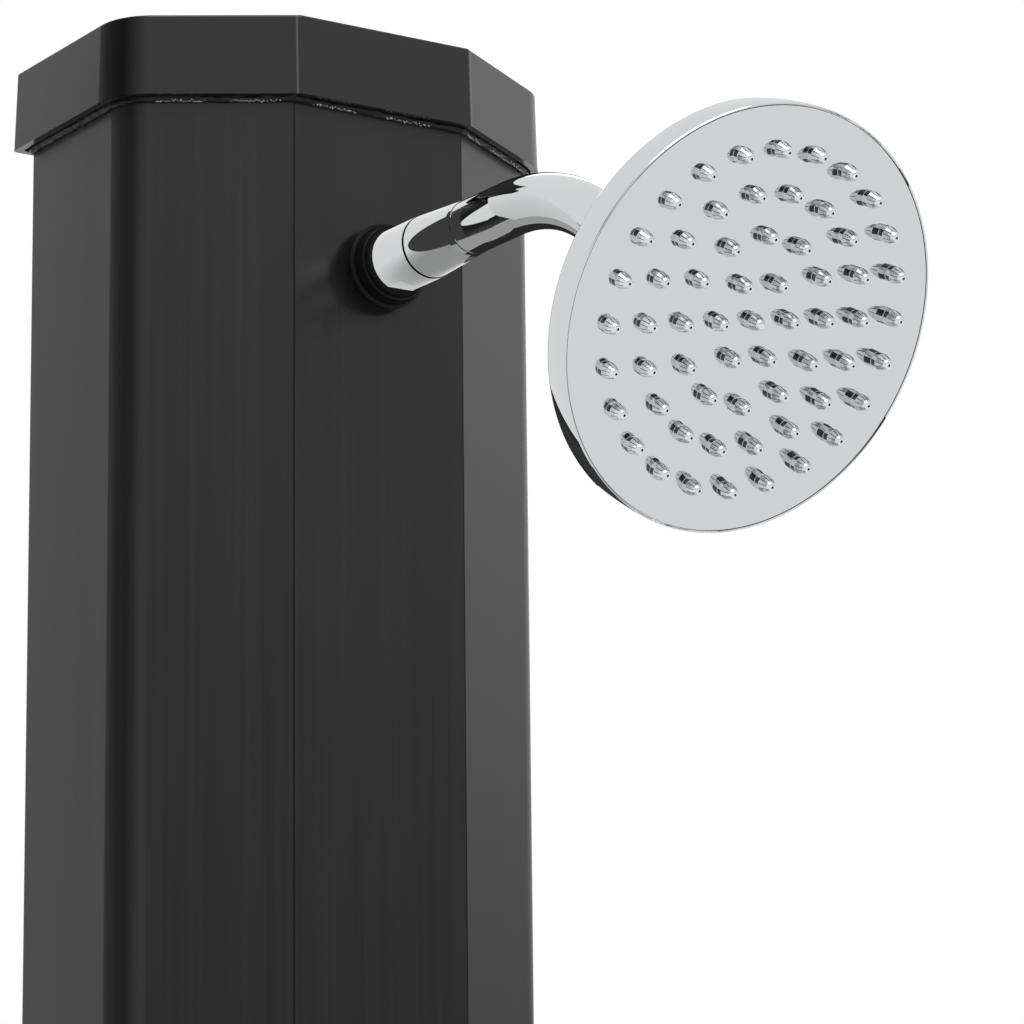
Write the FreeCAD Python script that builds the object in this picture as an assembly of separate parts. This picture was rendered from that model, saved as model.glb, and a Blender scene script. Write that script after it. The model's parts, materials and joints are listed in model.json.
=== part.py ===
import FreeCAD, Part
import math
import os
from FreeCAD import Placement, Rotation, Vector

# Outdoor solar shower post.  Millimetres, +Z up, front is -Y.
# The origin is the middle of the four anchor holes, at the underside of the base plate.

# ---------------------------------------------------------------- driving sizes
total_height = 2170.0          # floor to the top of the cap

# extruded profile of the post: a front flat, two slanted faces, two sides and a flat back
front_flat = 75.0
slant_face = 64.3              # from the front corner to the sharp side corner
slant_angle = 31.8             # degrees behind the front flat
side_depth = 75.0              # from the sharp side corner to the back
side_corner_radius = 18.5
front_corner_radius = 1.2
back_corner_radius = 2.0
post_wall = 4.5
glue_gap = 0.2                 # between glued profiles, all round

# top cap
cap_overhang = 5.6             # slanted faces, sides and back, at the skirt's lower edge
cap_front_overhang = 6.3
cap_height = 31.8
cap_draft = 1.5                # degrees
cap_wall = 3.0
cap_top_thickness = 4.0
cap_plug_depth = 16.0
cap_plug_wall = 3.0
cap_edge_radius = 1.0
bead_drop = 2.2                # how far the sealant stands below the skirt
bead_height = 7.0

# foot
plate_width = 250.0
plate_depth = 200.0
plate_thickness = 8.0
plate_corner_radius = 18.0
anchor_spacing_x = 210.0
anchor_spacing_y = 160.0
anchor_hole_radius = 5.5
boot_height = 48.0
boot_wall = 3.5
boot_clearance = 0.4
boot_draft = 3.0
boot_edge_radius = 0.8
closure_thickness = 12.0
closure_rim_height = 24.0
closure_rim_wall = 6.0
foot_screw_radius = 4.0
foot_screw_head_radius = 7.6
foot_screw_head_depth = 4.2
foot_screw_recess = 0.6
foot_screw_length = 17.0
foot_screw_spacing_x = 120.0
foot_screw_inset = 11.5        # from both ends of the post's straight sides

# shower arm and the fitting that carries it
arm_drop = 94.2                # cap top down to the arm's axis
arm_radius = 10.3
arm_wall = 1.2
arm_bend_radius = 100.0
arm_end_angle = 36.0           # degrees below the horizontal
pivot_reach = 208.3            # front flat out to the ball's centre
pivot_drop = 156.0             # cap top down to the ball's centre
flange_step = 1.9              # flange beyond its ring
flange_thickness = 7.2
flange_foot = 4.6              # part of it that stands back behind the rim
flange_undercut = 2.8
ring_step = 1.2                # ring beyond the washer
ring_length = 5.2
lip_step = 1.1                 # washer beyond the collar
lip_length = 2.0
collar_wall = 2.0
collar_flat_length = 10.0
collar_flat_depth = 1.2        # of the two spanner flats
collar_groove_end = 37.0       # from the front flat
collar_groove_depth = 0.9
collar_groove_width = 0.9
collar_nose_step = 0.25        # nose inside the collar's body
collar_end = 66.0              # nose of the collar, from the front flat
collar_lip = 0.1               # left standing round the arm
socket_margin = 0.2            # bush thread beyond the arm's outside
socket_wall = 3.4
socket_tail = 14.0
socket_end = 24.0              # of the bush, from the front flat
arm_start = 28.0               # of the arm tube, from the front flat
slide_clearance = 0.05
fit_clearance = 0.1
hole_clearance = 0.4

# ball joint and head
ball_radius = 9.5
ball_neck_radius = 3.9
ball_bore_radius = 2.2
shoulder_gap = 7.5             # from the ball back to the arm's end nut
end_nut_rim = 2.0              # spanner flats beyond the arm's outside
end_nut_length = 9.0
stud_plug = 8.0                # part of the stud inside the arm
liner_thickness = 1.5
rest_tilt = 29.2               # spray axis below the horizontal
rest_side = 4.74               # spray axis turned aside
front_liner_angles = (38.0, 66.0)
rear_liner_angles = (95.0, 117.0)
housing_wall = 6.0
nut_step = 1.2                 # swivel nut beyond the neck
nut_split = 2.0                # plane between the neck and the swivel nut, ahead of the ball
ball_shown = 0.9               # part of the ball behind the swivel nut
nut_lip_angle = 4.0            # degrees from the rear liner on to the nut's lip
nut_grooves = 18
nut_groove_radius = 1.1
tip_distance = 38.0            # ball centre to the plane of the nozzle tips
head_radius = 75.9
rim_front_from_tips = 6.6
rim_depth = 11.0
rim_edge_radius = 0.5
rim_back_radius = 1.0
head_wall = 1.6
back_wall = 2.6
head_rise = 6.4                # from the neck's flare forward to the rim's back
neck_flare = 4.0
throat_radius = 6.0            # water way through the neck
face_rim = 0.9                 # from the face plate's edge out to the head's outside
face_thickness = 1.4
face_recess = 0.3
face_ledge = 3.0               # shoulder that the face plate lies on
seal_width = 3.0
seal_thickness = 1.0
mat_thickness = 1.6
nozzle_rings = 4
nozzle_pitch = 15.0
nozzle_base_radius = 3.0
nozzle_tip_radius = 1.5
nozzle_hole_radius = 0.5
nozzle_phase = 8.3             # degrees

# mixer
mixer_height = 1100.0
tail_spacing = 40.0
outlet_rise = 36.0
tail_radius = 8.3
tail_bore_radius = 5.0
tail_inside = 16.0
tail_nut_rim = 2.7             # spanner flats beyond the thread
tail_nut_height = 6.0
gasket_thickness = 1.5
mixer_width = 66.0
mixer_below = 38.0
mixer_above = 66.0
mixer_slab = 18.0
mixer_edge_radius = 3.0
mixer_way_depth = 6.5          # of the water ways into the mixer's body
barrel_radius = 26.0
barrel_front = 30.0
lift_pivot = 36.0              # from the front flat
dome_radius = 24.0
dome_wall = 2.0
dome_opening = 38.0            # degrees from the axis
cartridge_radius = 17.5
cartridge_back = 5.0
cartridge_shoulder = 27.0
cartridge_neck_radius = 11.0
cartridge_front = 33.0
carrier_radius = 9.0
carrier_back = 20.5
carrier_front = 38.5
carrier_floor = 4.0            # under the slot for the stem
retainer_radius = 20.5
retainer_front = 34.0
stem_width = 8.0
stem_back = 30.5
stem_front = 60.0
lift_pin_radius = 2.0
hub_clearance = 0.35
hub_wall = 3.6
hub_angle = 62.0
blade_length = 92.0
blade_rise = 17.0
blade_root = (22.0, 11.0)
blade_tip = (13.0, 5.0)
blade_below = 8.0              # root of the blade below the lever's pivot
blade_ahead = 20.5             # and ahead of it
hub_flat = 0.6                 # turned off the hub's front
lever_screw_radius = 2.0
lever_screw_length = 9.0
screw_head_thickness = 2.0
index_radius = 6.0
index_thickness = 1.6
index_proud = 0.4

# foot tap
tap_height = 320.0
tap_flange_radius = 20.0
tap_flange_thickness = 4.0
tap_barrel_radius = 12.5
tap_barrel_front = 46.0
tap_bore_radius = 6.0
tap_thread_radius = 10.4
tap_tail = 18.0
tap_nut_rim = 3.1
tap_nut_height = 7.0
spout_from_wall = 28.0
spout_radius = 8.0
spout_drop = 32.0
spout_bore_radius = 5.5
headwork_radius = 9.5
headwork_front = 52.0
headwork_depth = 14.0
headwork_floor = 4.0
spindle_radius = 4.0
tap_handle_radius = 13.0
tap_handle_length = 13.0
tap_handle_gap = 1.0
handle_cover = 5.0             # handle metal and screw beyond the spindle's end
handle_cap_depth = 3.5
tap_screw_seat = 1.5
tap_screw_head = 1.8
screw_cap_thickness = 2.1
tap_blade_length = 48.0
tap_blade_width = 11.0
tap_blade_thickness = 6.0

# water inlet and drain, low on the back
inlet_height = 120.0
inlet_thread_radius = 13.2
inlet_bore_radius = 8.0
inlet_outside = 18.0
inlet_flange_rim = 5.8
inlet_flange_thickness = 4.0
inlet_nut_rim = 4.8
inlet_nut_height = 8.0
tee_radius = 12.0
tee_length = 26.0
tee_branch_radius = 9.0
tee_branch_length = 22.0
adapter_wall = 3.8
adapter_length = 20.0
spigot_radius = 8.0
spigot_neck = 3.0              # between the nut and the first barb
spigot_plain = 10.0            # plain nose past the barbs
barb_length = 6.0
barb_count = 3
barb_rise = 0.9
drain_height = 84.0
drain_thread_radius = 6.6
drain_head_rim = 2.9
drain_head_height = 8.0
drain_inside = 9.0

# pipes inside the tank
pipe_radius = 6.0
pipe_wall = 1.2
pipe_bend_radius = 24.0
pipe_straight = 5.0
pickup_below_cap = 34.0
jog_height = 260.0             # cold riser moves sideways this far below the mixer
clip_heights = (1420.0, 1800.0)
clip_thickness = 10.0
clip_edge = 4.0
clip_stalk = 14.0

# ---------------------------------------------------------------- places worked out from the sizes
slant_rad = math.radians(slant_angle)
half_flat = front_flat / 2
half_width = half_flat + slant_face * math.cos(slant_rad)
slant_depth = slant_face * math.sin(slant_rad)
post_depth = slant_depth + side_depth
foot_screw_spacing_y = side_depth - 2 * foot_screw_inset
front_y = -post_depth / 2
back_y = post_depth / 2
post_bottom = plate_thickness
post_top = total_height - cap_top_thickness
arm_height = total_height - arm_drop
pivot_height = total_height - pivot_drop

collar_radius = arm_radius + collar_wall
collar_flat = collar_radius - collar_flat_depth
socket_thread_radius = arm_radius + socket_margin
socket_bore_radius = socket_thread_radius - socket_wall
socket_front = flange_thickness + ring_length + lip_length
lip_radius = collar_radius + lip_step
ring_radius = lip_radius + ring_step
flange_radius = ring_radius + flange_step
end_nut_flats = 2 * (arm_radius + end_nut_rim)
socket_nut_flats = 2 * (socket_thread_radius + tap_nut_rim)

shoulder_back = ball_radius + shoulder_gap
housing_radius = ball_radius + liner_thickness + slide_clearance
neck_radius = ball_radius + liner_thickness + housing_wall
nut_radius = neck_radius + nut_step
nut_back = ball_radius - ball_shown

hub_front = lift_pivot + dome_radius + hub_clearance + hub_wall - hub_flat
tail_nut_flats = 2 * (tail_radius + tail_nut_rim)
tap_nut_flats = 2 * (tap_thread_radius + tap_nut_rim)
handle_back = headwork_front + tap_handle_gap
handle_front = handle_back + tap_handle_length
inlet_flange_radius = inlet_thread_radius + inlet_flange_rim
inlet_nut_flats = 2 * (inlet_thread_radius + inlet_nut_rim)
adapter_radius = inlet_thread_radius + adapter_wall
drain_head_flats = 2 * (drain_thread_radius + drain_head_rim)


# ---------------------------------------------------------------- helpers
def outline(inset, front_inset=None):
    """Corners and radii of the profile, moved in from the post's outside by inset."""
    front_inset = inset if front_inset is None else front_inset
    side_x = half_width - inset
    y_front = front_y + front_inset
    y_back = back_y - inset
    normal = (math.sin(slant_rad), -math.cos(slant_rad))
    start = (half_flat - inset * normal[0], front_y - inset * normal[1])
    x_front = start[0] + (y_front - start[1]) / math.tan(slant_rad)
    y_side = start[1] + (side_x - start[0]) * math.tan(slant_rad)
    half = [(x_front, y_front), (side_x, y_side), (side_x, y_back)]
    kept = max(inset, 0)          # the sharp corners stay as sharp outside the post
    radii = [max(front_corner_radius - kept, 0.4), side_corner_radius - inset,
             max(back_corner_radius - kept, 0.4)]
    corners = half + [(-x, y) for x, y in reversed(half)]
    return corners, radii + radii[::-1]


def rounded_wire(corners, radii, z):
    """Closed wire through the corners, each rounded by a tangent arc."""
    count = len(corners)
    ends = []
    for i, radius in enumerate(radii):
        corner = Vector(*corners[i], z)
        before = (Vector(*corners[i - 1], z) - corner).normalize()
        after = (Vector(*corners[(i + 1) % count], z) - corner).normalize()
        half_angle = before.getAngle(after) / 2
        setback = radius / math.tan(half_angle)
        bisector = (before + after).normalize()
        middle = corner + bisector * (radius / math.sin(half_angle) - radius)
        ends.append((corner + before * setback, middle, corner + after * setback))
    edges = []
    for i, (first, middle, last) in enumerate(ends):
        edges.append(Part.Arc(first, middle, last).toShape())
        edges.append(Part.LineSegment(last, ends[(i + 1) % count][0]).toShape())
    return Part.Wire(edges)


def profile(inset, z, height, front_inset=None):
    """Solid bar with the post's outline, moved in by inset."""
    wire = rounded_wire(*outline(inset, front_inset), z)
    return Part.Face(wire).extrude(Vector(0, 0, height))


def drafted(low_inset, high_inset, z, height, low_front=None, high_front=None):
    """Bar with the post's outline, low_inset at its foot and high_inset at its top."""
    low = rounded_wire(*outline(low_inset, low_front), z)
    high = rounded_wire(*outline(high_inset, high_front), z + height)
    return Part.makeLoft([low, high], True, True)


def rod(radius, start, length, x=0.0, y=0.0):
    """Cylinder along local Z."""
    return Part.makeCylinder(radius, length, Vector(x, y, start))


def tube(outer, inner, start, length):
    return rod(outer, start, length).cut(rod(inner, start, length))


def turns(count):
    """Angles of a full turn in equal steps."""
    return [2 * math.pi * i / count for i in range(count)]


def hexagon(flats, start, height, bore=0.0):
    """Hexagon bar along local Z, with a bore if one is given."""
    radius = flats / 2 / math.cos(math.pi / 6)
    points = [Vector(radius * math.cos(angle), radius * math.sin(angle), start) for angle in turns(6)]
    points.append(points[0])
    body = Part.Face(Part.makePolygon(points)).extrude(Vector(0, 0, height))
    body = body.common(chamfered_rod(radius * 0.985, start, height, 0.8))
    return body.cut(rod(bore, start, height)) if bore else body


def chamfered_rod(radius, start, length, chamfer):
    corners = [(0, start), (radius - chamfer, start), (radius, start + chamfer),
               (radius, start + length - chamfer), (radius - chamfer, start + length), (0, start + length)]
    return turned(corners)


def turned(points):
    """Solid of revolution about local Z.

    A point is (r, z), or (r, z, via_r, via_z) to come to it by an arc.
    """
    edges = []
    last = Vector(points[-1][0], 0, points[-1][1])
    for point in points:
        here = Vector(point[0], 0, point[1])
        if len(point) == 4:
            edges.append(Part.Arc(last, Vector(point[2], 0, point[3]), here).toShape())
        elif here.distanceToPoint(last) > 1e-6:
            edges.append(Part.LineSegment(last, here).toShape())
        last = here
    face = Part.Face(Part.Wire(edges))
    return face.revolve(Vector(0, 0, 0), Vector(0, 0, 1), 360)


def sphere_zone(outer, inner, first, last):
    """Ring between two spheres about the origin, from one angle off +Z to another, in degrees."""
    def at(radius, angle):
        return radius * math.sin(math.radians(angle)), radius * math.cos(math.radians(angle))
    middle = (first + last) / 2
    points = [at(inner, first), at(outer, first), at(outer, last) + at(outer, middle), at(inner, last),
              at(inner, first) + at(inner, middle)]
    return turned(points)


def rounded_box(size, corner, z, height, centre=(0.0, 0.0)):
    """Upright slab with rounded corners."""
    x, y = size[0] / 2, size[1] / 2
    corners = [(centre[0] + a * x, centre[1] + b * y) for a, b in ((1, -1), (1, 1), (-1, 1), (-1, -1))]
    wire = rounded_wire(corners, [corner] * 4, z)
    return Part.Face(wire).extrude(Vector(0, 0, height))


def round_edges(shape, radius, test):
    """Rounds the edges whose box passes the test."""
    return shape.makeFillet(radius, [edge for edge in shape.Edges if test(edge.BoundBox)])


def pipe(points, outer, inner, bend):
    """Pipe along straight runs joined by tangent arcs."""
    points = [Vector(*point) for point in points]
    edges = []
    last = points[0]
    for before, corner, after in zip(points, points[1:], points[2:]):
        back = (before - corner).normalize()
        ahead = (after - corner).normalize()
        half_angle = back.getAngle(ahead) / 2
        setback = bend / math.tan(half_angle)
        middle = corner + (back + ahead).normalize() * (bend / math.sin(half_angle) - bend)
        edges.append(Part.LineSegment(last, corner + back * setback).toShape())
        edges.append(Part.Arc(corner + back * setback, middle, corner + ahead * setback).toShape())
        last = corner + ahead * setback
    edges.append(Part.LineSegment(last, points[-1]).toShape())
    path = Part.Wire(edges)
    direction = points[1] - points[0]
    solids = [path.makePipeShell([Part.Wire(Part.makeCircle(r, points[0], direction))], True, False)
              for r in (outer, inner)]
    return solids[0].cut(solids[1])


def on_front(x, z):
    """Local Z points out of the front flat, local Y up."""
    return Placement(Vector(x, front_y, z), Rotation(Vector(1, 0, 0), Vector(0, 0, 1), Vector(0, -1, 0), "XYZ"))


def on_back(x, z):
    """Local Z points out of the back, local Y up."""
    return Placement(Vector(x, back_y, z), Rotation(Vector(-1, 0, 0), Vector(0, 0, 1), Vector(0, 1, 0), "XYZ"))


def placed(shape, placement):
    return shape.transformed(placement.toMatrix(), copy=True)


# ---------------------------------------------------------------- post, cap and foot
arm_place = on_front(0, arm_height)
mixer_place = on_front(0, mixer_height)
tap_place = on_front(0, tap_height)
inlet_place = on_back(0, inlet_height)
drain_place = on_back(0, drain_height)
tail_places = ((-tail_spacing / 2, 0.0), (tail_spacing / 2, 0.0), (0.0, outlet_rise))


def wall_hole(radius, place, x=0.0, y=0.0):
    """Cutter for a hole through one wall."""
    return placed(rod(radius + hole_clearance, -post_wall - 1, post_wall + 2, x, y), place)


def post_shell():
    body = profile(0, post_bottom, post_top - post_bottom)
    body = body.cut(profile(post_wall, post_bottom, post_top - post_bottom))
    holes = [wall_hole(socket_thread_radius, arm_place), wall_hole(tap_thread_radius, tap_place),
             wall_hole(inlet_thread_radius, inlet_place), wall_hole(drain_thread_radius, drain_place)]
    holes += [wall_hole(tail_radius, mixer_place, x, y) for x, y in tail_places]
    return body.cut(holes)


def top_cap():
    low = total_height - cap_height
    taper = cap_height * math.tan(math.radians(cap_draft))
    outside = drafted(-cap_overhang, taper - cap_overhang, low, cap_height,
                      -cap_front_overhang, taper - cap_front_overhang)
    outside = round_edges(outside, cap_edge_radius, lambda b: b.ZMin > total_height - 0.01)
    skirt_room = cap_height - cap_top_thickness
    inner_taper = skirt_room * math.tan(math.radians(cap_draft))
    inside = drafted(cap_wall - cap_overhang, cap_wall - cap_overhang + inner_taper, low, skirt_room,
                     cap_wall - cap_front_overhang, cap_wall - cap_front_overhang + inner_taper)
    plug_inset = post_wall + glue_gap
    plug = profile(plug_inset, post_top - cap_plug_depth, cap_plug_depth)
    plug = plug.cut(profile(plug_inset + cap_plug_wall, post_top - cap_plug_depth, cap_plug_depth))
    return outside.cut(inside).fuse(plug).removeSplitter()


def cap_bead():
    low = total_height - cap_height
    taper = bead_height * math.tan(math.radians(cap_draft))
    bead = drafted(cap_wall - cap_overhang, cap_wall - cap_overhang + taper, low, bead_height,
                   cap_wall - cap_front_overhang, cap_wall - cap_front_overhang + taper)
    hanging = drafted(-0.4, cap_wall - cap_overhang, low - bead_drop, bead_drop,
                      -0.4, cap_wall - cap_front_overhang)
    post = profile(0, low - bead_drop, bead_drop + bead_height)
    return bead.fuse(hanging).cut(post).removeSplitter()


def screw_spots(spacing_x, spacing_y):
    return [(x * spacing_x / 2, y * spacing_y / 2) for x in (-1, 1) for y in (-1, 1)]


def foot_screw(radius_gap=0.0):
    """Countersunk screw, head down, made from the underside of the plate."""
    head, shank = foot_screw_head_radius + radius_gap, foot_screw_radius + radius_gap
    start = foot_screw_recess - radius_gap
    return turned([(0, start), (head, start), (shank, start + foot_screw_head_depth),
                   (shank, foot_screw_length), (0, foot_screw_length)])


def base_plate():
    plate = rounded_box((plate_width, plate_depth), plate_corner_radius, 0, plate_thickness)
    plate = round_edges(plate, boot_edge_radius, lambda b: b.ZMin > plate_thickness - 0.01)
    holes = [rod(anchor_hole_radius, -1, plate_thickness + 2, x, y)
             for x, y in screw_spots(anchor_spacing_x, anchor_spacing_y)]
    for x, y in screw_spots(foot_screw_spacing_x, foot_screw_spacing_y):
        holes.append(rod(foot_screw_head_radius + fit_clearance, -1, foot_screw_recess + 1, x, y))
        holes.append(foot_screw(fit_clearance).translated(Vector(x, y, 0)))
    return plate.cut(holes)


def base_boot():
    taper = boot_height * math.tan(math.radians(boot_draft))
    outer = boot_clearance + boot_wall
    boot = drafted(-outer - taper, -outer, plate_thickness, boot_height)
    boot = round_edges(boot, boot_edge_radius, lambda b: b.ZMin > plate_thickness + boot_height - 0.01)
    return boot.cut(profile(-boot_clearance, plate_thickness, boot_height))


def bottom_closure():
    inset = post_wall + glue_gap
    body = profile(inset, plate_thickness, closure_thickness + closure_rim_height)
    top = plate_thickness + closure_thickness
    body = body.cut(profile(inset + closure_rim_wall, top, closure_rim_height))
    holes = [foot_screw(fit_clearance).translated(Vector(x, y, 0))
             for x, y in screw_spots(foot_screw_spacing_x, foot_screw_spacing_y)]
    return body.cut(holes)


def foot_screws():
    return Part.makeCompound([foot_screw().translated(Vector(x, y, 0))
                              for x, y in screw_spots(foot_screw_spacing_x, foot_screw_spacing_y)])


# ---------------------------------------------------------------- arm
def hex_nut(flats, height, thread_radius, place, x=0.0, y=0.0):
    """Locknut against the inside of the wall."""
    nut = hexagon(flats, -post_wall - height, height, thread_radius + slide_clearance)
    return placed(nut.translated(Vector(x, y, 0)), place)


def wall_flange():
    """Black plastic escutcheon with its two steps, round the arm's foot."""
    ring_end = flange_thickness + ring_length
    foot_radius = flange_radius - flange_undercut
    corners = [(socket_thread_radius + fit_clearance, 0), (foot_radius, 0), (foot_radius, flange_foot),
               (flange_radius, flange_foot), (flange_radius, flange_thickness - 1), (flange_radius - 1, flange_thickness),
               (ring_radius, flange_thickness), (ring_radius, ring_end - 0.6), (ring_radius - 0.6, ring_end),
               (socket_thread_radius + fit_clearance, ring_end)]
    return placed(turned(corners), arm_place)


def collar_washer():
    ring_end = flange_thickness + ring_length
    return placed(tube(lip_radius, socket_thread_radius + fit_clearance, ring_end, lip_length), arm_place)


def arm_socket():
    """Threaded bush through the wall, which the collar screws on to."""
    body = rod(socket_thread_radius, -post_wall - socket_tail, post_wall + socket_tail + socket_end)
    return placed(body.cut(rod(socket_bore_radius, -post_wall - socket_tail - 1, 100)), arm_place)


def arm_collar():
    """Chromed nut with a tapered nose that runs out on the arm."""
    groove_start = collar_groove_end - collar_groove_width
    deep = collar_radius - collar_groove_depth
    corners = [(socket_thread_radius + slide_clearance, socket_front), (collar_radius, socket_front),
               (collar_radius, groove_start), (deep, groove_start), (deep, collar_groove_end),
               (collar_radius - collar_nose_step, collar_groove_end),
               (arm_radius + slide_clearance + collar_lip, collar_end),
               (arm_radius + slide_clearance, collar_end),
               (arm_radius + slide_clearance, arm_start),
               (socket_thread_radius + slide_clearance, arm_start)]
    body = turned(corners)
    size = 2 * collar_radius
    for side in (-1, 1):
        flat = Part.makeBox(size, size, collar_flat_length, Vector(-size / 2, 0, socket_front))
        flat.translate(Vector(0, collar_flat if side > 0 else -collar_flat - size, 0))
        body = body.cut(flat)
    return placed(body, arm_place)


def shower_arm():
    drop = math.radians(arm_end_angle)
    pivot = Vector(0, front_y - pivot_reach, pivot_height)
    end = pivot + Vector(0, math.cos(drop), math.sin(drop)) * (shoulder_back + end_nut_length)
    rise = arm_height - end.z
    corner = Vector(0, end.y + rise / math.tan(drop), arm_height)
    start = Vector(0, front_y - arm_start, arm_height)
    return pipe([start, corner, end], arm_radius, arm_radius - arm_wall, arm_bend_radius)


def arm_seal():
    """O-ring between the arm tube and the threaded bush."""
    ring = tube(arm_radius, socket_bore_radius, socket_end, arm_start - socket_end)
    return placed(ring, arm_place)


def at_arm_end():
    """Local Z points along the arm's end, out of the ball; the origin is the ball's centre."""
    drop = math.radians(arm_end_angle)
    along = Vector(0, -math.cos(drop), -math.sin(drop))
    pivot = Vector(0, front_y - pivot_reach, pivot_height)
    return Placement(pivot, Rotation(Vector(-1, 0, 0), along.cross(Vector(-1, 0, 0)), along, "XYZ"))


def ball_stud():
    neck_start = math.sqrt(ball_radius ** 2 - ball_neck_radius ** 2)
    stem = shoulder_back + end_nut_length
    plug_radius = arm_radius - arm_wall - slide_clearance
    body = turned([(0, ball_radius), (ball_neck_radius, -neck_start, ball_radius, 0),
                   (ball_neck_radius, -shoulder_back), (0, -shoulder_back)])
    body = body.fuse(hexagon(end_nut_flats, -stem, end_nut_length))
    body = body.fuse(rod(plug_radius, -stem - stud_plug, stud_plug))
    bore = rod(ball_bore_radius, -stem - stud_plug - 1, stem + stud_plug + ball_radius + 2)
    return placed(body.cut(bore).removeSplitter(), at_arm_end())


# ---------------------------------------------------------------- head, made about the ball's centre
def at_head():
    """Local Z is the spray axis in its rest pose; the origin is the ball's centre."""
    level = Rotation(Vector(-1, 0, 0), Vector(0, 0, -1), Vector(0, -1, 0), "XYZ")
    tilt = Rotation(Vector(1, 0, 0), rest_tilt)
    up = tilt.multVec(Vector(0, 0, 1))
    side = Rotation(up, rest_side)
    return Placement(Vector(0, front_y - pivot_reach, pivot_height), side * tilt * level)


head_place = at_head()
face_radius = head_radius - face_rim
rim_front = tip_distance - rim_front_from_tips
rim_back = rim_front - rim_depth
face_front = rim_front - face_recess
face_back = face_front - face_thickness
mat_back = face_back - mat_thickness
seal_back = mat_back - seal_thickness
mat_radius = face_radius - face_ledge - 2 * fit_clearance


def ball_liner(angles):
    ring = sphere_zone(ball_radius + liner_thickness, ball_radius + slide_clearance, *angles)
    return placed(ring, head_place)


def swivel_nut():
    """Rear half of the ball's housing, grooved for the hand."""
    body = chamfered_rod(nut_radius, -nut_back, nut_back + nut_split, 1.2)
    body = body.cut(Part.makeSphere(housing_radius))
    edge = math.radians(rear_liner_angles[1] + nut_lip_angle)
    mouth = 0.9 * ball_radius * math.sin(edge)
    body = body.cut(Part.makeCone(2.2 * ball_radius, mouth, nut_back, Vector(0, 0, -nut_back - nut_split)))
    grooves = [rod(nut_groove_radius, -nut_back - 1, nut_back + nut_split + 2,
                   (nut_radius + 0.5) * math.cos(angle), (nut_radius + 0.5) * math.sin(angle))
               for angle in turns(nut_grooves)]
    return placed(body.cut(grooves), head_place)


def head_shell():
    """Chromed back of the head with its neck, and the rim that holds the face."""
    edge, back_edge = rim_edge_radius, rim_back_radius
    turn = 1 - math.sqrt(0.5)
    flare_z = rim_back - head_rise
    flare_r = neck_radius + neck_flare
    ledge = face_radius - face_ledge
    corners = [
        (neck_radius, nut_split), (neck_radius, flare_z - neck_flare),
        (flare_r, flare_z, neck_radius + turn * neck_flare, flare_z - turn * neck_flare),
        (head_radius - back_edge, rim_back),
        (head_radius, rim_back + back_edge, head_radius - turn * back_edge, rim_back + turn * back_edge),
        (head_radius, rim_front - edge),
        (head_radius - edge, rim_front, head_radius - turn * edge, rim_front - turn * edge),
        (face_radius + fit_clearance, rim_front),
        (face_radius + fit_clearance, face_back), (ledge, face_back),
        (ledge, seal_back), (ledge - head_wall, rim_back + 2 * head_wall),
        (flare_r, flare_z + back_wall), (throat_radius, flare_z + back_wall), (throat_radius, nut_split),
    ]
    return placed(turned(corners).cut(Part.makeSphere(housing_radius)), head_place)


def nozzle_spots():
    spots = [(0.0, 0.0)]
    for ring in range(1, nozzle_rings + 1):
        for i in range(6 * ring):
            angle = math.radians(nozzle_phase) + i * math.pi / 3 / ring
            spots.append((ring * nozzle_pitch * math.cos(angle), ring * nozzle_pitch * math.sin(angle)))
    return spots


def face_plate():
    plate = rod(face_radius, face_back, face_thickness)
    holes = [rod(nozzle_base_radius + fit_clearance, face_back - 1, face_thickness + 2, x, y)
             for x, y in nozzle_spots()]
    return placed(plate.cut(holes), head_place)


def nozzle_mat():
    """Silicone mat with every nozzle in one piece.  The middle one is blind."""
    mat = rod(mat_radius, mat_back, mat_thickness)
    height = tip_distance - face_back
    nozzle = rod(nozzle_base_radius, face_back, face_thickness)
    cone = Part.makeCone(nozzle_base_radius, nozzle_tip_radius, height - face_thickness,
                         Vector(0, 0, face_front))
    nozzle = nozzle.fuse(cone)
    jet = rod(nozzle_hole_radius, mat_back - 1, tip_distance - mat_back + 2)
    spots = nozzle_spots()
    mat = mat.fuse([nozzle.translated(Vector(x, y, 0)) for x, y in spots]).removeSplitter()
    mat = mat.cut([jet.translated(Vector(x, y, 0)) for x, y in spots[1:]])
    return placed(mat, head_place)


def head_seal():
    """Ring behind the mat's edge that keeps the water in."""
    outer = mat_radius - 2 * fit_clearance
    return placed(tube(outer, outer - seal_width, seal_back, seal_thickness), head_place)


# ---------------------------------------------------------------- mixer, made from the front flat outwards
def mixer_slab_form(start, height):
    reach = mixer_below + mixer_above
    return rounded_box((mixer_width, reach), mixer_width / 2 - 0.5, start, height,
                       (0, (mixer_above - mixer_below) / 2))


def mixer_gasket():
    ring = mixer_slab_form(0, gasket_thickness)
    holes = [rod(tail_radius + slide_clearance, -1, gasket_thickness + 2, x, y) for x, y in tail_places]
    return placed(ring.cut(holes), mixer_place)


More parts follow.
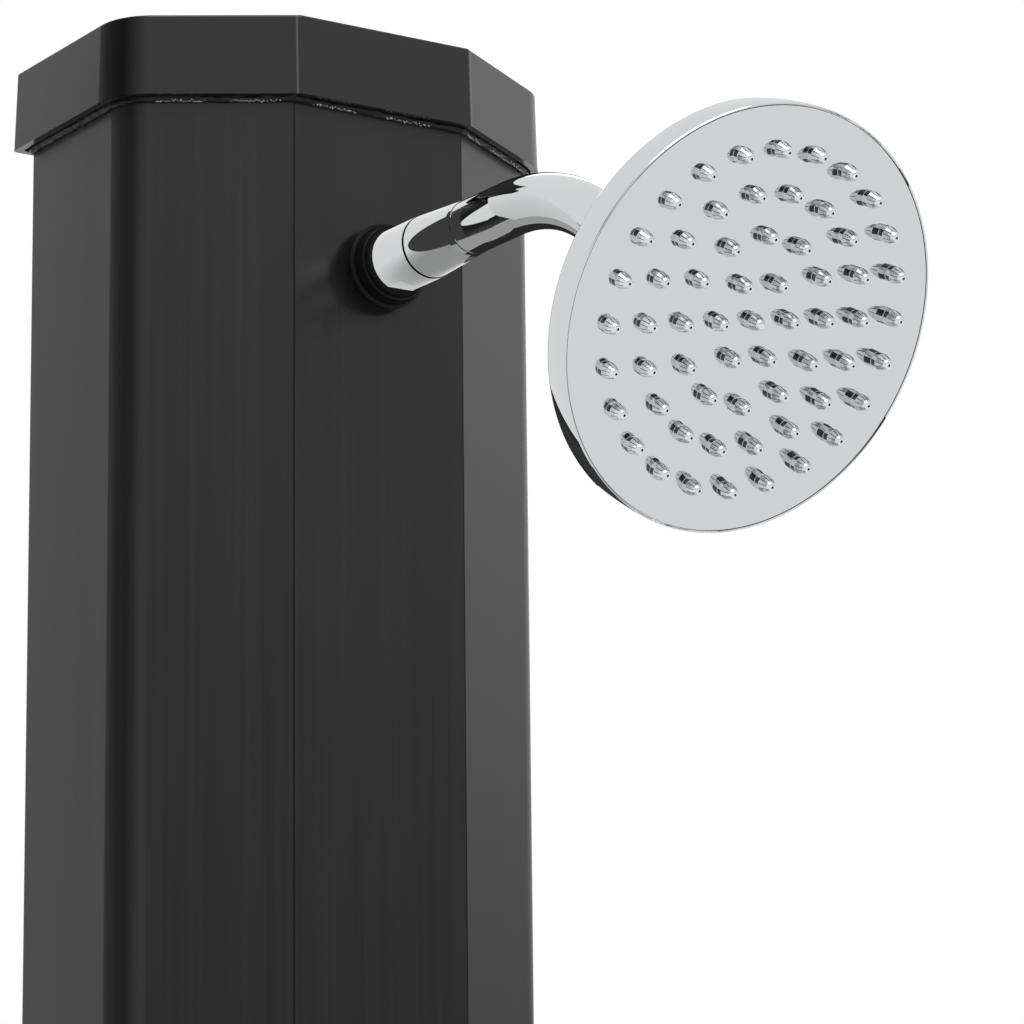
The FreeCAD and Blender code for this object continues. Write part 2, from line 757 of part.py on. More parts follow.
def mixer_body():
    """Chromed brass body with its three threaded tails."""
    slab = mixer_slab_form(gasket_thickness, mixer_slab)
    slab = round_edges(slab, mixer_edge_radius, lambda b: b.ZMin > gasket_thickness + mixer_slab - 0.01)
    slab = slab.fuse(chamfered_rod(barrel_radius, cartridge_back, barrel_front - cartridge_back, 1.0))
    tail = tail_inside + post_wall
    slab = slab.fuse([rod(tail_radius, -tail, tail + gasket_thickness, x, y) for x, y in tail_places])
    ways = [rod(tail_bore_radius, -tail - 1, tail + 1 + mixer_way_depth, x, y) for x, y in tail_places]
    cavity = rod(cartridge_radius + fit_clearance, cartridge_back, barrel_front)
    seat = rod(retainer_radius + fit_clearance, cartridge_shoulder, barrel_front)
    return placed(slab.cut(ways + [cavity, seat]).removeSplitter(), mixer_place)


def mixer_locknuts():
    nuts = [hex_nut(tail_nut_flats, tail_nut_height, tail_radius, mixer_place, x, y) for x, y in tail_places]
    return Part.makeCompound(nuts)


def mixer_cartridge():
    body = rod(cartridge_radius, cartridge_back, cartridge_shoulder - cartridge_back)
    body = body.fuse(rod(cartridge_neck_radius, cartridge_shoulder, cartridge_front - cartridge_shoulder))
    room = rod(carrier_radius + slide_clearance, carrier_back - 4 * slide_clearance, cartridge_front)
    return placed(body.cut(room).removeSplitter(), mixer_place)


def cartridge_retainer():
    nut = tube(retainer_radius, cartridge_neck_radius + hole_clearance, cartridge_shoulder,
               retainer_front - cartridge_shoulder)
    return placed(nut, mixer_place)


def mixer_dome():
    """Chromed cover over the retainer, a ball zone about the lever's pivot."""
    foot = math.degrees(math.acos((barrel_front - lift_pivot) / dome_radius))
    ring = sphere_zone(dome_radius, dome_radius - dome_wall, dome_opening, foot + 4)
    below = rod(dome_radius + 2, barrel_front - lift_pivot - 10, 10)
    return placed(ring.cut(below).translated(Vector(0, 0, lift_pivot)), mixer_place)


def cartridge_carrier():
    """Turns in the cartridge and holds the lever's pin."""
    body = rod(carrier_radius, carrier_back, carrier_front - carrier_back)
    width = stem_width + 4 * fit_clearance
    slot = Part.makeBox(width, 4 * carrier_radius, carrier_front,
                        Vector(-width / 2, -2 * carrier_radius, carrier_back + carrier_floor))
    return placed(body.cut([slot, lift_pin_rod(0.0)]), mixer_place)


def lift_pin_rod(gap):
    length = 2 * carrier_radius - 1
    return Part.makeCylinder(lift_pin_radius + gap, length, Vector(-length / 2, 0, lift_pivot), Vector(1, 0, 0))


def lift_pin():
    return placed(lift_pin_rod(0.0), mixer_place)


def lever_stem():
    half = stem_width / 2
    stem = Part.makeBox(stem_width, stem_width, stem_front - stem_back, Vector(-half, -half, stem_back))
    screw_hole = rod(lever_screw_radius, stem_front - lever_screw_length - 1, lever_screw_length + 2)
    return placed(stem.cut([lift_pin_rod(slide_clearance), screw_hole]), mixer_place)


def mixer_lever():
    """Hub over the dome, and the blade that hangs from it."""
    centre = Vector(0, 0, lift_pivot)
    inner = dome_radius + hub_clearance
    outer = inner + hub_wall
    rim = lift_pivot + inner * math.cos(math.radians(hub_angle))
    hub = Part.makeSphere(outer, centre)
    low = rounded_wire(*slab_corners(blade_root, 0.41 * blade_root[1]), 0)
    high = rounded_wire(*slab_corners(blade_tip, 0.44 * blade_tip[1]), blade_length)
    blade = Part.makeLoft([low, high], True, True)
    lean = Rotation(Vector(1, 0, 0), 90 - blade_rise)
    root = Vector(0, -blade_below, lift_pivot + blade_ahead)
    blade = blade.transformed(Placement(root, lean).toMatrix(), copy=True)
    body = hub.common(rod(outer + 1, rim, hub_front - rim)).fuse(blade)
    square = stem_width + 2 * slide_clearance
    pocket = Part.makeBox(square, square, stem_front - rim, Vector(-square / 2, -square / 2, rim))
    screw_way = rod(2 * lever_screw_radius + fit_clearance, stem_front, 10)
    recess = rod(index_radius + slide_clearance, hub_front - index_thickness + index_proud, hub_wall)
    body = body.cut([Part.makeSphere(inner, centre), pocket, screw_way, recess])
    return placed(body.removeSplitter(), mixer_place)


def slab_corners(size, corner):
    x, y = size[0] / 2, size[1] / 2
    return [(x, -y), (x, y), (-x, y), (-x, -y)], [corner] * 4


def lever_screw():
    shank = rod(lever_screw_radius, stem_front - lever_screw_length, lever_screw_length)
    body = shank.fuse(rod(2 * lever_screw_radius, stem_front, screw_head_thickness))
    return placed(body.removeSplitter(), mixer_place)


def index_plug():
    start = hub_front - index_thickness + index_proud
    return placed(chamfered_rod(index_radius, start, index_thickness, index_proud), mixer_place)


# ---------------------------------------------------------------- foot tap
def tap_gasket():
    return placed(tube(tap_flange_radius, tap_thread_radius + slide_clearance, 0, gasket_thickness), tap_place)


def tap_body():
    flange_end = gasket_thickness + tap_flange_thickness
    body = chamfered_rod(tap_flange_radius, gasket_thickness, tap_flange_thickness, 1.2)
    body = body.fuse(chamfered_rod(tap_barrel_radius, flange_end - 1, tap_barrel_front - flange_end + 1, 0.9))
    body = body.fuse(rod(tap_thread_radius, -post_wall - tap_tail, post_wall + tap_tail + gasket_thickness + 1))
    spout = Part.makeCylinder(spout_radius, spout_drop, Vector(0, 0, spout_from_wall), Vector(0, -1, 0))
    body = body.fuse(spout)
    way = rod(tap_bore_radius, -post_wall - tap_tail - 1, post_wall + tap_tail + tap_barrel_front)
    seat = rod(headwork_radius + fit_clearance, tap_barrel_front - headwork_depth, headwork_depth + 1)
    down = Part.makeCylinder(spout_bore_radius, spout_drop + 1, Vector(0, 0, spout_from_wall), Vector(0, -1, 0))
    return placed(body.cut([way, seat, down]).removeSplitter(), tap_place)


def tap_locknut():
    return hex_nut(tap_nut_flats, tap_nut_height, tap_thread_radius, tap_place)


def tap_headwork():
    start = tap_barrel_front - headwork_depth
    body = rod(headwork_radius, start, headwork_front - start)
    room = rod(spindle_radius + slide_clearance, start + headwork_floor, headwork_front)
    return placed(body.cut(room), tap_place)


def tap_spindle():
    start = tap_barrel_front - headwork_depth + headwork_floor + 4 * slide_clearance
    end = handle_front - handle_cover
    return placed(rod(spindle_radius, start, end - start), tap_place)


def tap_handle():
    hub = chamfered_rod(tap_handle_radius, handle_back, tap_handle_length, 1.6)
    blade_back = handle_back + (tap_handle_length - tap_blade_thickness) / 2
    blade = rounded_box((tap_blade_width, tap_blade_length), 0.41 * tap_blade_width, blade_back,
                        tap_blade_thickness, (0, tap_blade_length / 2))
    blade = round_edges(blade, 1.2, lambda b: b.ZLength < 0.01)
    body = hub.fuse(blade)
    spindle_room = rod(spindle_radius + slide_clearance, handle_back, tap_handle_length - handle_cover)
    screw_room = rod(lever_screw_radius + fit_clearance, handle_back, tap_handle_length)
    head_room = rod(index_radius + slide_clearance, handle_front - handle_cap_depth, handle_cap_depth + 1)
    return placed(body.cut([spindle_room, screw_room, head_room]).removeSplitter(), tap_place)


def tap_screw():
    start = handle_front - handle_cover
    shank = rod(lever_screw_radius, start, tap_screw_seat)
    head = rod(2 * lever_screw_radius, start + tap_screw_seat, tap_screw_head)
    return placed(shank.fuse(head).removeSplitter(), tap_place)


def tap_screw_cap():
    start = handle_front - handle_cover + tap_screw_seat + tap_screw_head
    return placed(chamfered_rod(index_radius, start, screw_cap_thickness, 0.5), tap_place)


def tap_aerator():
    """Spray former in the spout's mouth."""
    mouth = Vector(0, -spout_drop - 1.2, spout_from_wall)
    up = Vector(0, 1, 0)
    cup = Part.makeCylinder(spout_bore_radius - slide_clearance, 9, mouth, up)
    lip = Part.makeCylinder(spout_radius - 0.6, 1.2, mouth, up)
    body = cup.fuse(lip)
    for i in range(6):
        angle = i * math.pi / 3
        spot = mouth + Vector(3 * math.cos(angle), -1, 3 * math.sin(angle))
        body = body.cut(Part.makeCylinder(0.8, 12, spot, up))
    return placed(body.removeSplitter(), tap_place)


# ---------------------------------------------------------------- inlet, drain and the pipes inside
def inlet_union():
    """Chromed bush through the back wall, threaded outside for the hose adapter."""
    inside = post_wall + inlet_nut_height + 2
    body = rod(inlet_thread_radius, -inside, inside + inlet_outside)
    body = body.fuse(chamfered_rod(inlet_flange_radius, gasket_thickness, inlet_flange_thickness, 1.0))
    return placed(body.cut(rod(inlet_bore_radius, -inside - 1, 100)).removeSplitter(), inlet_place)


def inlet_gasket():
    ring = tube(inlet_flange_radius, inlet_thread_radius + slide_clearance, 0, gasket_thickness)
    return placed(ring, inlet_place)


def inlet_locknut():
    return hex_nut(inlet_nut_flats, inlet_nut_height, inlet_thread_radius, inlet_place)


def inlet_tee():
    """Feeds the tank through its open end and the mixer through its branch."""
    start = -post_wall - inlet_nut_height - 2 - tee_length
    body = chamfered_rod(tee_radius, start, tee_length, 0.8)
    middle = Vector(0, 0, start + tee_length / 2)
    up = Vector(0, 1, 0)
    body = body.fuse(Part.makeCylinder(tee_branch_radius, tee_branch_length, middle, up))
    ways = [rod(pipe_radius, start - 1, tee_length + 2),
            Part.makeCylinder(pipe_radius - pipe_wall, tee_branch_length + 1, middle, up)]
    return placed(body.cut(ways).removeSplitter(), inlet_place)


def hose_adapter():
    """Nut and push-on tail for a garden hose."""
    start = gasket_thickness + inlet_flange_thickness + 1
    body = chamfered_rod(adapter_radius, start, adapter_length, 1.2)
    for i in range(24):
        angle = i * math.pi / 12
        body = body.cut(rod(0.9, start - 1, adapter_length + 2,
                            adapter_radius * math.cos(angle), adapter_radius * math.sin(angle)))
    tail = start + adapter_length
    end = tail + spigot_neck + barb_count * barb_length + spigot_plain
    corners = [(0, tail - 1), (spigot_radius, tail - 1)]
    for i in range(barb_count):
        foot = tail + spigot_neck + i * barb_length
        corners += [(spigot_radius, foot), (spigot_radius + barb_rise, foot)]
    corners += [(spigot_radius, end - spigot_plain), (spigot_radius, end), (0, end)]
    body = body.fuse(turned(corners))
    thread = rod(inlet_thread_radius + slide_clearance, start - 1, inlet_outside - start + 2)
    way = rod(pipe_radius, start, end - start + 1)
    return placed(body.cut([thread, way]).removeSplitter(), inlet_place)


def drain_plug():
    body = rod(drain_thread_radius, -post_wall - drain_inside, post_wall + drain_inside + gasket_thickness)
    body = body.fuse(hexagon(drain_head_flats, gasket_thickness, drain_head_height))
    return placed(body.removeSplitter(), drain_place)


def drain_gasket():
    ring = tube(drain_head_flats / 2, drain_thread_radius + slide_clearance, 0, gasket_thickness)
    return placed(ring, drain_place)


def riser_depth():
    """Local Z of the upright pipes behind the front flat."""
    return -post_wall - tail_inside - pipe_straight - pipe_bend_radius


def cold_riser():
    tail_x, tail_y = tail_places[1]
    tail_end = Vector(tail_x, front_y + post_wall + tail_inside, mixer_height + tail_y)
    riser_y = front_y - riser_depth()
    tee_y = back_y - post_wall - inlet_nut_height - 2 - tee_length / 2
    tee_top = inlet_height + tee_branch_length
    jog = mixer_height - jog_height
    points = [(0, tee_y, tee_top), (0, tee_y, jog), (tail_x, riser_y, jog + 120),
              (tail_x, riser_y, tail_end.z), tuple(tail_end)]
    return pipe(points, pipe_radius, pipe_radius - pipe_wall, pipe_bend_radius)


def hot_pickup():
    tail_x, tail_y = tail_places[0]
    riser_y = front_y - riser_depth()
    height = mixer_height + tail_y
    points = [(tail_x, front_y + post_wall + tail_inside, height), (tail_x, riser_y, height),
              (tail_x, riser_y, total_height - pickup_below_cap)]
    return pipe(points, pipe_radius, pipe_radius - pipe_wall, pipe_bend_radius)


def shower_riser():
    tail_x, tail_y = tail_places[2]
    riser_y = front_y - riser_depth()
    height = mixer_height + tail_y
    points = [(tail_x, front_y + post_wall + tail_inside, height), (tail_x, riser_y, height),
              (tail_x, riser_y, arm_height), (tail_x, front_y + post_wall + socket_tail, arm_height)]
    return pipe(points, pipe_radius, pipe_radius - pipe_wall, pipe_bend_radius)


def pipe_clips():
    """Clips glued to the front wall, each round the two long risers."""
    left = tail_places[0][0]
    right = tail_places[2][0]
    reach = pipe_radius + clip_edge
    near = front_y + post_wall
    riser_y = front_y - riser_depth()
    clips = []
    for height in clip_heights:
        block = Part.makeBox(right - left + 2 * reach, 2 * reach, clip_thickness,
                             Vector(left - reach, riser_y - reach, height))
        stalk = Part.makeBox(clip_stalk, riser_y - near, clip_thickness,
                             Vector((left + right - clip_stalk) / 2, near, height))
        ways = [Part.makeCylinder(pipe_radius + slide_clearance, clip_thickness, Vector(x, riser_y, height))
                for x in (left, right)]
        clips.append(block.fuse(stalk).cut(ways).removeSplitter())
    return Part.makeCompound(clips)


# ---------------------------------------------------------------- every sub-part by its node name
pieces = {
    "base_plate": base_plate,
    "base_boot": base_boot,
    "bottom_closure": bottom_closure,
    "foot_screws": foot_screws,
    "post_shell": post_shell,
    "top_cap": top_cap,
    "cap_bead": cap_bead,
    "wall_flange": wall_flange,
    "collar_washer": collar_washer,
    "arm_socket": arm_socket,
    "arm_locknut": lambda: hex_nut(socket_nut_flats, tap_nut_height, socket_thread_radius, arm_place),
    "arm_collar": arm_collar,
    "arm_seal": arm_seal,
    "shower_arm": shower_arm,
    "ball_stud": ball_stud,
    "ball_seat_front": lambda: ball_liner(front_liner_angles),
    "ball_seat_rear": lambda: ball_liner(rear_liner_angles),
    "swivel_nut": swivel_nut,
    "head_shell": head_shell,
    "face_plate": face_plate,
    "nozzle_mat": nozzle_mat,
    "head_seal": head_seal,
    "mixer_gasket": mixer_gasket,
    "mixer_body": mixer_body,
    "mixer_locknuts": mixer_locknuts,
    "mixer_cartridge": mixer_cartridge,
    "cartridge_retainer": cartridge_retainer,
    "mixer_dome": mixer_dome,
    "cartridge_carrier": cartridge_carrier,
    "lift_pin": lift_pin,
    "lever_stem": lever_stem,
    "mixer_lever": mixer_lever,
    "lever_screw": lever_screw,
    "index_plug": index_plug,
    "tap_gasket": tap_gasket,
    "tap_body": tap_body,
    "tap_locknut": tap_locknut,
    "tap_headwork": tap_headwork,
    "tap_spindle": tap_spindle,
    "tap_handle": tap_handle,
    "tap_screw": tap_screw,
    "tap_screw_cap": tap_screw_cap,
    "tap_aerator": tap_aerator,
    "inlet_gasket": inlet_gasket,
    "inlet_union": inlet_union,
    "inlet_locknut": inlet_locknut,
    "inlet_tee": inlet_tee,
    "hose_adapter": hose_adapter,
    "drain_plug": drain_plug,
    "drain_gasket": drain_gasket,
    "cold_riser": cold_riser,
    "hot_pickup": hot_pickup,
    "shower_riser": shower_riser,
    "pipe_clips": pipe_clips,
}

os.makedirs("parts", exist_ok=True)
for name, make in pieces.items():
    shape = make()
    shape.exportStep("parts/" + name + ".step")
    print(name, "solids", len(shape.Solids), "valid", shape.isValid(), "volume", round(shape.Volume))
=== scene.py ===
import json
import math
import bpy
from mathutils import Matrix, Vector, noise


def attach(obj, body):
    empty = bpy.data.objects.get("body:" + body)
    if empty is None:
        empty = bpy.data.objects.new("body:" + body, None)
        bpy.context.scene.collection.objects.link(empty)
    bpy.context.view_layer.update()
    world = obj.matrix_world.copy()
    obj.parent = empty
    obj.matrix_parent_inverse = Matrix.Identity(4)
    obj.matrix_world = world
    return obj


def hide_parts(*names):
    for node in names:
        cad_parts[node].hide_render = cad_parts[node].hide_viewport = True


# Looks for the outdoor shower post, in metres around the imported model.
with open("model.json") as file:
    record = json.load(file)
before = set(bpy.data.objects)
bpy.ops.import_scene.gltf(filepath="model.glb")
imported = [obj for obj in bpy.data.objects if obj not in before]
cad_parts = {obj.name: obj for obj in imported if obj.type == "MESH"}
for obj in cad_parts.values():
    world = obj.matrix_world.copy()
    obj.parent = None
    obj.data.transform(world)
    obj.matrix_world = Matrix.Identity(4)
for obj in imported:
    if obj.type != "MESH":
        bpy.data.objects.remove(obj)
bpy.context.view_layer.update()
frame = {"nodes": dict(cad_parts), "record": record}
nodes = frame["nodes"]
print("frame in place:", len(nodes), "nodes")

# ---- small helpers


def toLinear(hexColour):
    parts = [int(hexColour[i:i + 2], 16) / 255 for i in (1, 3, 5)]
    return [p / 12.92 if p <= 0.04045 else ((p + 0.055) / 1.055) ** 2.4 for p in parts] + [1.0]


def addNode(tree, kind, inputs=(), **settings):
    node = tree.nodes.new("ShaderNode" + kind)
    for name, value in settings.items():
        setattr(node, name, value)
    # a value or a link for each socket that is named, or else for the first ones in order
    for socket, value in inputs.items() if isinstance(inputs, dict) else enumerate(inputs):
        if isinstance(value, bpy.types.NodeSocket):
            tree.links.new(value, node.inputs[socket])
        else:
            node.inputs[socket].default_value = value
    return node


def perMetre(millimetres):
    return 1000.0 / millimetres  # texture scale that makes a feature about this long


# ---- camera at the photograph's place: below the cap, left of the post, looking up
photoCamera = {
    "place": (-0.95834, -1.60859, 1.53482),
    "azimuth": 33.216,  # degrees to the right of straight at the front
    "pitch": 13.726,  # degrees upwards
    "roll": -0.602,
    "lens": 175.78,  # mm on a 36 mm sensor
    "clip": (0.05, 200.0),
}


def addCamera(spec):
    azimuth, pitch, roll = (math.radians(spec[k]) for k in ("azimuth", "pitch", "roll"))
    level = math.cos(pitch)
    ahead = Vector((math.sin(azimuth) * level, math.cos(azimuth) * level, math.sin(pitch)))
    right = Vector((math.cos(azimuth), -math.sin(azimuth), 0))
    up = right.cross(ahead)
    turnedRight = right * math.cos(roll) + up * math.sin(roll)
    turnedUp = up * math.cos(roll) - right * math.sin(roll)
    data = bpy.data.cameras.new("photoCamera")
    data.lens = spec["lens"]
    data.clip_start, data.clip_end = spec["clip"]
    camera = bpy.data.objects.new("photoCamera", data)
    turn = Matrix((turnedRight, turnedUp, -ahead)).transposed()
    camera.matrix_world = Matrix.Translation(spec["place"]) @ turn.to_4x4()
    bpy.context.scene.collection.objects.link(camera)
    bpy.context.scene.camera = camera


addCamera(photoCamera)
print("camera set")

# ---- light: a white studio that gets dimmer low down in front and at the right, for the gloss to pick up
studio = {
    "surround": 1.0,
    "plainLevel": 0.62,  # what matt surfaces get from the world
    # name: (azimuth from the front, inner and outer half width, all in degrees,
    #        sine of the elevation where it starts and stops fading upwards, depth)
    "flags": {
        "front": (0.0, 45.0, 80.0, -0.10, 0.58, 0.97),
        "right": (97.0, 25.0, 55.0, 0.03, 0.345, 0.80),
    },
}


def addWorld(spec):
    world = bpy.data.worlds.new("studio")
    bpy.context.scene.world = world
    world.use_nodes = True
    tree = world.node_tree
    tree.nodes.clear()
    direction = addNode(tree, "TexCoord").outputs["Generated"]
    level = addNode(tree, "VectorMath", (direction, (1, 1, 0)), operation="MULTIPLY").outputs[0]
    level = addNode(tree, "VectorMath", (level,), operation="NORMALIZE").outputs[0]
    height = addNode(tree, "SeparateXYZ", (direction,)).outputs["Z"]
    shine = spec["surround"]
    for azimuth, inner, outer, low, high, depth in spec["flags"].values():
        angle, inner, outer = (math.radians(value) for value in (azimuth, inner, outer))
        towards = addNode(tree, "VectorMath", (level, (math.sin(angle), -math.cos(angle), 0)),
                          operation="DOT_PRODUCT").outputs["Value"]
        side = addNode(tree, "MapRange", (towards, math.cos(outer), math.cos(inner), 0, depth),
                       interpolation_type="SMOOTHSTEP").outputs[0]
        fade = addNode(tree, "MapRange", (height, low, high, 1, 0),
                       interpolation_type="SMOOTHSTEP").outputs[0]
        dark = addNode(tree, "Math", (side, fade), operation="MULTIPLY").outputs[0]
        left = addNode(tree, "Math", (1.0, dark), operation="SUBTRACT").outputs[0]
        shine = addNode(tree, "Math", (shine, left), operation="MULTIPLY").outputs[0]
    path = addNode(tree, "LightPath").outputs
    seen = addNode(tree, "Math", (path["Is Camera Ray"], path["Is Transmission Ray"]),
                   operation="MAXIMUM").outputs[0]
    strength = addNode(tree, "Mix", {"Factor": path["Is Glossy Ray"], "A": spec["plainLevel"], "B": shine},
                       data_type="FLOAT").outputs["Result"]
    strength = addNode(tree, "Mix", {"Factor": seen, "A": strength, "B": 1.0},
                       data_type="FLOAT").outputs["Result"]
    shader = addNode(tree, "Background", {"Color": (1, 1, 1, 1), "Strength": strength}).outputs[0]
    addNode(tree, "OutputWorld", {"Surface": shader})


lamps = {
    # name: (place, aimed at, size in metres, watts)
    "overhead": ((-0.6, -1.6, 4.6), (0.0, 0.0, 1.4), 2.8, 40.0),
    "rear": ((1.6, 2.8, 3.6), (0.0, 0.0, 1.2), 2.4, 24.0),
}


def addLamps(spec):
    for name, (place, target, size, watts) in spec.items():
        data = bpy.data.lights.new(name, "AREA")
        data.shape, data.size, data.energy = "DISK", size, watts
        lamp = bpy.data.objects.new(name, data)
        lamp.location = place
        lamp.rotation_euler = (Vector(target) - Vector(place)).to_track_quat("-Z", "Y").to_euler()
        bpy.context.scene.collection.objects.link(lamp)


paleFloor = {"radius": 40.0, "sides": 96, "drop": 0.0005, "colour": "#f2f2f2", "glow": 1.0,
             "fade": (0.9, 4.5)}  # metres from the post over which it runs out into the white


def addFloor(spec):
    material = bpy.data.materials.new("paleFloor")
    material.use_nodes = True
    tree = material.node_tree
    tree.nodes.clear()
    matt = addNode(tree, "BsdfDiffuse", {"Color": toLinear(spec["colour"])}).outputs[0]
    glow = addNode(tree, "Emission", {"Color": (1, 1, 1, 1), "Strength": spec["glow"]}).outputs[0]
    path = addNode(tree, "LightPath").outputs
    reflected = addNode(tree, "Math", (path["Is Glossy Ray"], path["Is Transmission Ray"]),
                        operation="MAXIMUM").outputs[0]
    place = addNode(tree, "TexCoord").outputs["Object"]
    away = addNode(tree, "VectorMath", (place,), operation="LENGTH").outputs["Value"]
    faded = addNode(tree, "MapRange", (away, *spec["fade"], 0, 1),
                    interpolation_type="SMOOTHSTEP").outputs[0]
    white = addNode(tree, "Math", (reflected, faded), operation="MAXIMUM").outputs[0]
    mix = addNode(tree, "MixShader", (white, matt, glow)).outputs[0]
    addNode(tree, "OutputMaterial", {"Surface": mix})
    mesh = bpy.data.meshes.new("floor")
    radius, sides = spec["radius"], spec["sides"]
    turns = [2 * math.pi * i / sides for i in range(sides)]
    ring = [(radius * math.cos(turn), radius * math.sin(turn), -spec["drop"]) for turn in turns]
    mesh.from_pydata(ring, [], [range(sides)])
    floor = bpy.data.objects.new("floor", mesh)
    floor.data.materials.append(material)
    bpy.context.scene.collection.objects.link(floor)


# studio cards that only gloss sees, within their reach in metres and, where said, at its first bounce
# each is a flat sheet whose first two corners are level, and its brightness follows one coordinate by stops
cards = {
    "cornerCard": {"first": (-0.142, -0.086), "last": (-0.142, 0.071), "heights": (0.0, 2.30),
                   "reach": (0.02, 0.118), "along": "Y",
                   "stops": ((-0.086, 0.80), (-0.053, 0.42), (-0.024, 0.02), (0.019, 0.16), (0.071, 0.34))},
    "rearCard": {"first": (-0.30, 0.19), "last": (-0.30, 0.52), "heights": (0.0, 2.60),
                 "reach": (0.20, 0.48), "along": "Z",
                 "stops": ((0.0, 0.31), (2.60, 0.37))},
    "armCard": {"first": (-0.021, -0.0556), "last": (0.021, -0.0556), "heights": (2.074, 2.136),
                "reach": (0.078, 0.20), "bounces": 1, "along": "Z",
                "stops": ((2.074, 1.0), (2.136, 1.0))},
    "lowArmCard": {"first": (-0.034, -0.0557), "last": (0.034, -0.0557), "heights": (1.80, 2.074),
                   "reach": (0.078, 0.20), "bounces": 1, "along": "Z",
                   "stops": ((1.80, 0.45), (2.064, 0.45), (2.074, 1.0))},
    "darkCard": {"first": (0.0215, -0.0625), "last": (0.105, -0.0625), "heights": (2.02, 2.172),
                 "reach": (0.070, 0.22), "bounces": 1, "along": "Z",
                 "stops": ((2.02, 0.03), (2.172, 0.012))},
    "skirtCard": {"first": (-0.060, -0.0625), "last": (0.0215, -0.0625), "heights": (2.138, 2.170),
                  "reach": (0.09, 0.16), "bounces": 1, "along": "Z",
                  "stops": ((2.138, 0.03), (2.170, 0.03))},
    "noseCard": {"first": (-0.125, -0.0560), "last": (-0.034, -0.0560), "heights": (1.98, 2.136),
                 "reach": (0.04, 0.0895), "bounces": 1, "along": "Z",
                 "stops": ((1.98, 0.07), (2.136, 0.06))},
    "bendCard": {"first": (-0.125, -0.0558), "last": (-0.021, -0.0558), "heights": (2.00, 2.136),
                 "reach": (0.114, 0.162), "bounces": 1, "along": "Z",
                 "stops": ((2.00, 0.7), (2.136, 1.0))},
    "collarCard": {"first": (-0.0335, -0.0696), "last": (0.034, -0.0696), "heights": (1.96, 2.136),
                   "reach": (0.0, 0.064), "bounces": 1, "along": "Z",
                   "stops": ((1.96, 0.41), (2.046, 0.41), (2.058, 0.58), (2.070, 1.0), (2.136, 1.0))},
}
anyBounce = 99  # more than a ray ever makes, for the cards that say nothing


def addCard(name, spec):
    material = bpy.data.materials.new(name)
    material.use_nodes = True
    tree = material.node_tree
    tree.nodes.clear()
    place = addNode(tree, "TexCoord").outputs["Object"]
    along = addNode(tree, "SeparateXYZ", (place,)).outputs[spec["along"]]
    glow = spec["stops"][0][1]
    for (start, low), (end, high) in zip(spec["stops"], spec["stops"][1:]):
        change = addNode(tree, "MapRange", (along, start, end, 0.0, high - low)).outputs[0]
        glow = addNode(tree, "Math", (glow, change), operation="ADD").outputs[0]
    shining = addNode(tree, "Emission", {"Color": (1, 1, 1, 1), "Strength": glow}).outputs[0]
    path = addNode(tree, "LightPath").outputs
    away, bounces = path["Ray Length"], path["Glossy Depth"]
    nearest, farthest = spec["reach"]
    tooFar = addNode(tree, "Math", (away, farthest), operation="GREATER_THAN").outputs[0]
    tooNear = addNode(tree, "Math", (away, nearest), operation="LESS_THAN").outputs[0]
    unseen = addNode(tree, "Math", (tooFar, tooNear), operation="MAXIMUM").outputs[0]
    most = spec.get("bounces", anyBounce) + 0.5
    again = addNode(tree, "Math", (bounces, most), operation="GREATER_THAN").outputs[0]
    unseen = addNode(tree, "Math", (unseen, again), operation="MAXIMUM").outputs[0]
    behind = addNode(tree, "NewGeometry").outputs["Backfacing"]
    unseen = addNode(tree, "Math", (unseen, behind), operation="MAXIMUM").outputs[0]
    clear = addNode(tree, "BsdfTransparent").outputs[0]
    mixed = addNode(tree, "MixShader", (unseen, shining, clear)).outputs[0]
    addNode(tree, "OutputMaterial", {"Surface": mixed})
    (x0, y0), (x1, y1), (z0, z1) = spec["first"], spec["last"], spec["heights"]
    mesh = bpy.data.meshes.new(name)
    mesh.from_pydata([(x0, y0, z0), (x1, y1, z0), (x1, y1, z1), (x0, y0, z1)], [], [(0, 1, 2, 3)])
    mesh.materials.append(material)
    card = bpy.data.objects.new(name, mesh)
    bpy.context.scene.collection.objects.link(card)
    card.visible_camera = card.visible_shadow = False
    card.visible_diffuse = card.visible_transmission = False


addWorld(studio)
addLamps(lamps)
addFloor(paleFloor)
for cardName, cardSpec in cards.items():
    addCard(cardName, cardSpec)
bpy.context.scene.view_settings.view_transform = "Standard"
print("studio lit")

# ---- finishes
noiseRange = (0.3, 0.7)  # where most values of a noise texture lie


def startFinish(name, colour, roughness, **sockets):
    material = bpy.data.materials.new(name)
    material.use_nodes = True
    shader = material.node_tree.nodes["Principled BSDF"]
    shader.inputs["Base Color"].default_value = toLinear(colour)
    shader.inputs["Roughness"].default_value = roughness
    for socket, value in sockets.items():
        shader.inputs[socket.replace("_", " ")].default_value = value
    return material, material.node_tree, shader


def objectPlace(tree, scale):
    place = addNode(tree, "TexCoord").outputs["Object"]
    return addNode(tree, "Mapping", {"Vector": place, "Scale": scale}).outputs[0]


